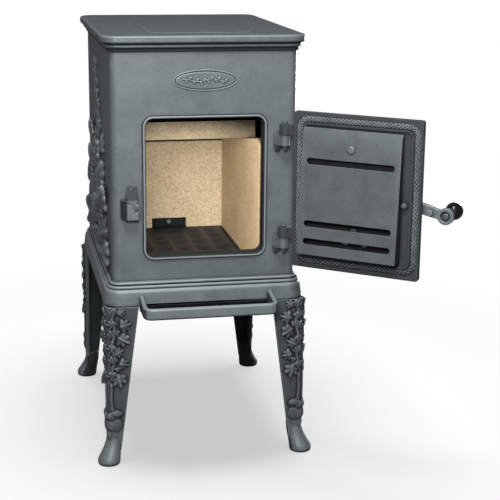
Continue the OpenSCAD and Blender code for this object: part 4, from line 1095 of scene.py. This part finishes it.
# %% [markdown]
# ## The hearth plate
# The floor of the firebox is a cast plate with rows of shallow hollows that keep a bed of ash. Cast
# hollows have four sloping sides and soft edges, so the plate's top is a fine grid whose points sink
# towards the middle of each hollow, at the pitch that the model's hollows have. The deeper a point, the
# more painted shade its mark carries.

# %% Hearth plate
HOLLOW_PITCH, HOLLOW_DEPTH, HEARTH_STEP = (38.2, 47.25), 5.5, 3
HOLLOW_START, HOLLOW_END = -199.5, 178.5


def hearth():
    low, high = (Vector(corner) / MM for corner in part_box("hearth_plate"))
    columns, rows = (round((high[i] - low[i]) / HEARTH_STEP) for i in (0, 1))
    bm = bmesh.new()
    middle = Matrix.Translation(((low.x + high.x) / 2, (low.y + high.y) / 2, high.z))
    bmesh.ops.create_grid(bm, x_segments=columns, y_segments=rows, size=1,
                          matrix=middle @ Matrix.Diagonal(((high.x - low.x) / 2, (high.y - low.y) / 2, 1, 1)))
    layer = bm.verts.layers.float.new("relief")
    for vert in bm.verts:
        u, v = vert.co.x / HOLLOW_PITCH[0] + 0.5, (vert.co.y - HOLLOW_START) / HOLLOW_PITCH[1]
        inside = low.x + 6 < vert.co.x < high.x - 6 and HOLLOW_START < vert.co.y < HOLLOW_END
        if inside:
            sunk = 1 - max(abs(2 * (u % 1) - 1), abs(2 * (v % 1) - 1))
            vert.co.z -= HOLLOW_DEPTH * sunk
            # painted shade, deeper in the hollows
            vert[layer] = -0.7 * sunk
    wall = bmesh.ops.extrude_edge_only(bm, edges=[e for e in bm.edges if e.is_boundary])["geom"]
    for vert in (v for v in wall if isinstance(v, bmesh.types.BMVert)):
        vert.co.z = low.z
    bmesh.ops.holes_fill(bm, edges=[e for e in bm.edges if e.is_boundary])
    bmesh.ops.recalc_face_normals(bm, faces=bm.faces)
    bm.transform(Matrix.Scale(MM, 4))
    shade(bm)
    piece("hearth_plate_cast", bm, bare_iron, "stove", slot_of["hearth_plate"], "hearth_plate")


hearth()

# %% [markdown]
# ## The oval badge
# The front carries a small oval plate with a sunk line round its edge. Its field holds a plain sprig.
# It is a pile too: an oval disc, a raised rim and field with a groove between them, and the sprig.

# %% Badge
BADGE_W, BADGE_H = 110, 37
BADGE_VOXEL_MM, BADGE_BEND_MM = 0.55, 0.035
badge_low, badge_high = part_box("badge_plate")
BADGE_Y, BADGE_Z = badge_low[1] / MM + 1.1, (badge_low[2] + badge_high[2]) / 2 / MM
BADGE_FACE = Matrix(((1, 0, 0, 0), (0, 0, -1, BADGE_Y), (0, 1, 0, BADGE_Z), (0, 0, 0, 1)))


def oval(w, h, z0, z1):
    """A closed oval disc between two heights"""
    bm = bmesh.new()
    bmesh.ops.create_cone(bm, cap_ends=True, segments=64, radius1=1, radius2=1, depth=1)
    bm.transform(Matrix.Translation((0, 0, (z0 + z1) / 2)) @ Matrix.Diagonal((w / 2, h / 2, z1 - z0, 1)))
    return as_mesh("oval", bm)


def twig(x):
    """Height of the waving twig over the badge's middle"""
    return 2.2 * math.sin(x / 7.5)


def badge():
    pile = bmesh.new()
    press(pile, oval(BADGE_W, BADGE_H, -1.6, -0.6), BADGE_FACE)
    press(pile, oval(BADGE_W - 9.5, BADGE_H - 9.5, -1.6, 0.2), BADGE_FACE)
    for k in range(120):
        a = 2 * math.pi * k / 120
        x, y = (BADGE_W / 2 - 1.3) * math.cos(a), (BADGE_H / 2 - 1.3) * math.sin(a)
        ball(pile, BADGE_FACE, x, y, -0.8, 1.25)
    stem(pile, BADGE_FACE, [(x, twig(x), 0.4) for x in range(-38, 39, 4)], 0.85, 0.85)
    for k in range(12):
        x = -35 + 6.2 * k
        side = 1 if k % 2 else -1
        place = (Matrix.Translation((x, twig(x), 0.35)) @ turned("Z", side * 42)
                 @ Matrix.Translation((4.2, 0, 0)) @ Matrix.Diagonal((3.8, 1.7, 0.9, 1)))
        press(pile, BALL, BADGE_FACE @ place)
    bm = skin_mm(pile, BADGE_VOXEL_MM, 1)
    # painted shade in the badge's groove, painted highlight on its rim and sprig
    tone_relief(bm, BADGE_BEND_MM)
    bm.transform(Matrix.Scale(MM, 4))
    shade(bm, crease=math.radians(75))
    piece("badge_sprig", bm, painted_iron, "stove", "cast_iron", "badge_plate")


badge()

# %% [markdown]
# ## Lever and catch
# Both are small forgings whose arms run into their eyes with a hollow curve. The voxel skin gives just
# that when it is laid over the model's own solids with small voxels and more smoothing. The catch carries
# painted shade on its left side and its upright part, and its block is marked a little lighter.

# %% Lever and catch
FORGED_VOXEL_MM = 0.7
for node, rounds, full in (("latch_lever", 6, 0.09), ("door_catch", 3, 0.3)):
    bm = skin(merged(node), FORGED_VOXEL_MM * MM, rounds)
    # painted shade in hollows, painted highlight on crests
    tone_relief(bm, full * MM)
    if node == "door_catch":
        layer = bm.verts.layers.float["relief"]
        low, high = (corner.z for corner in map(Vector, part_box(node)))
        # painted shade on the left side and the upright part, the block a little lighter
        for vert in bm.verts:
            upright = vert.co.z > low + 0.56 * (high - low)
            vert[layer] -= 0.9 if vert.normal.x < -0.6 else (0.75 if upright else -0.15)
    shade(bm, crease=math.radians(60))
    piece(node + "_forged", bm, painted_iron, body_name(node), "cast_iron", node)

# %% [markdown]
# ## What each lamp lights
# In a studio shot the inside of a firebox would stay nearly black without a light of its own. The small
# lamp stands in front of the opening, and light linking keeps it on the boards, the hearth and the bolt
# behind them, so the painted front isn't lit twice. The edge light and the back light leave the lining
# and the floor out. The key light would glare on the flat top when it is seen from behind, so it leaves
# out the top plate and the lid. The edge light has them instead, and the cornice light, which stands
# lower than the top and so reaches only its front and its cornice.

# %% What each lamp lights
LINING = ("back_board", "left_board", "right_board", "baffle_board", "hearth_plate", "rear_air_bolt")
lining = [made for made in scene.objects
          if made.name.removesuffix("_soft").removesuffix("_cast") in LINING]
only_on(fire_lamp, "INCLUDE", *lining)
top_pieces = [made for made in scene.objects if made.name.startswith("top_")]
only_on(key, "EXCLUDE", ground, *top_pieces)
only_on(cornice_lamp, "INCLUDE", *top_pieces)
for lamp in (edge_lamp, back_lamp):
    only_on(lamp, "EXCLUDE", ground, *lining)
print("lit by the firebox lamp:", len(lining), "and by the cornice light:", len(top_pieces))

# %% [markdown]
# ## The size after dressing
# Dressing may round and carve a piece. The box round everything here is measured, without the floor.

# %% Size after dressing
low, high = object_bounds()
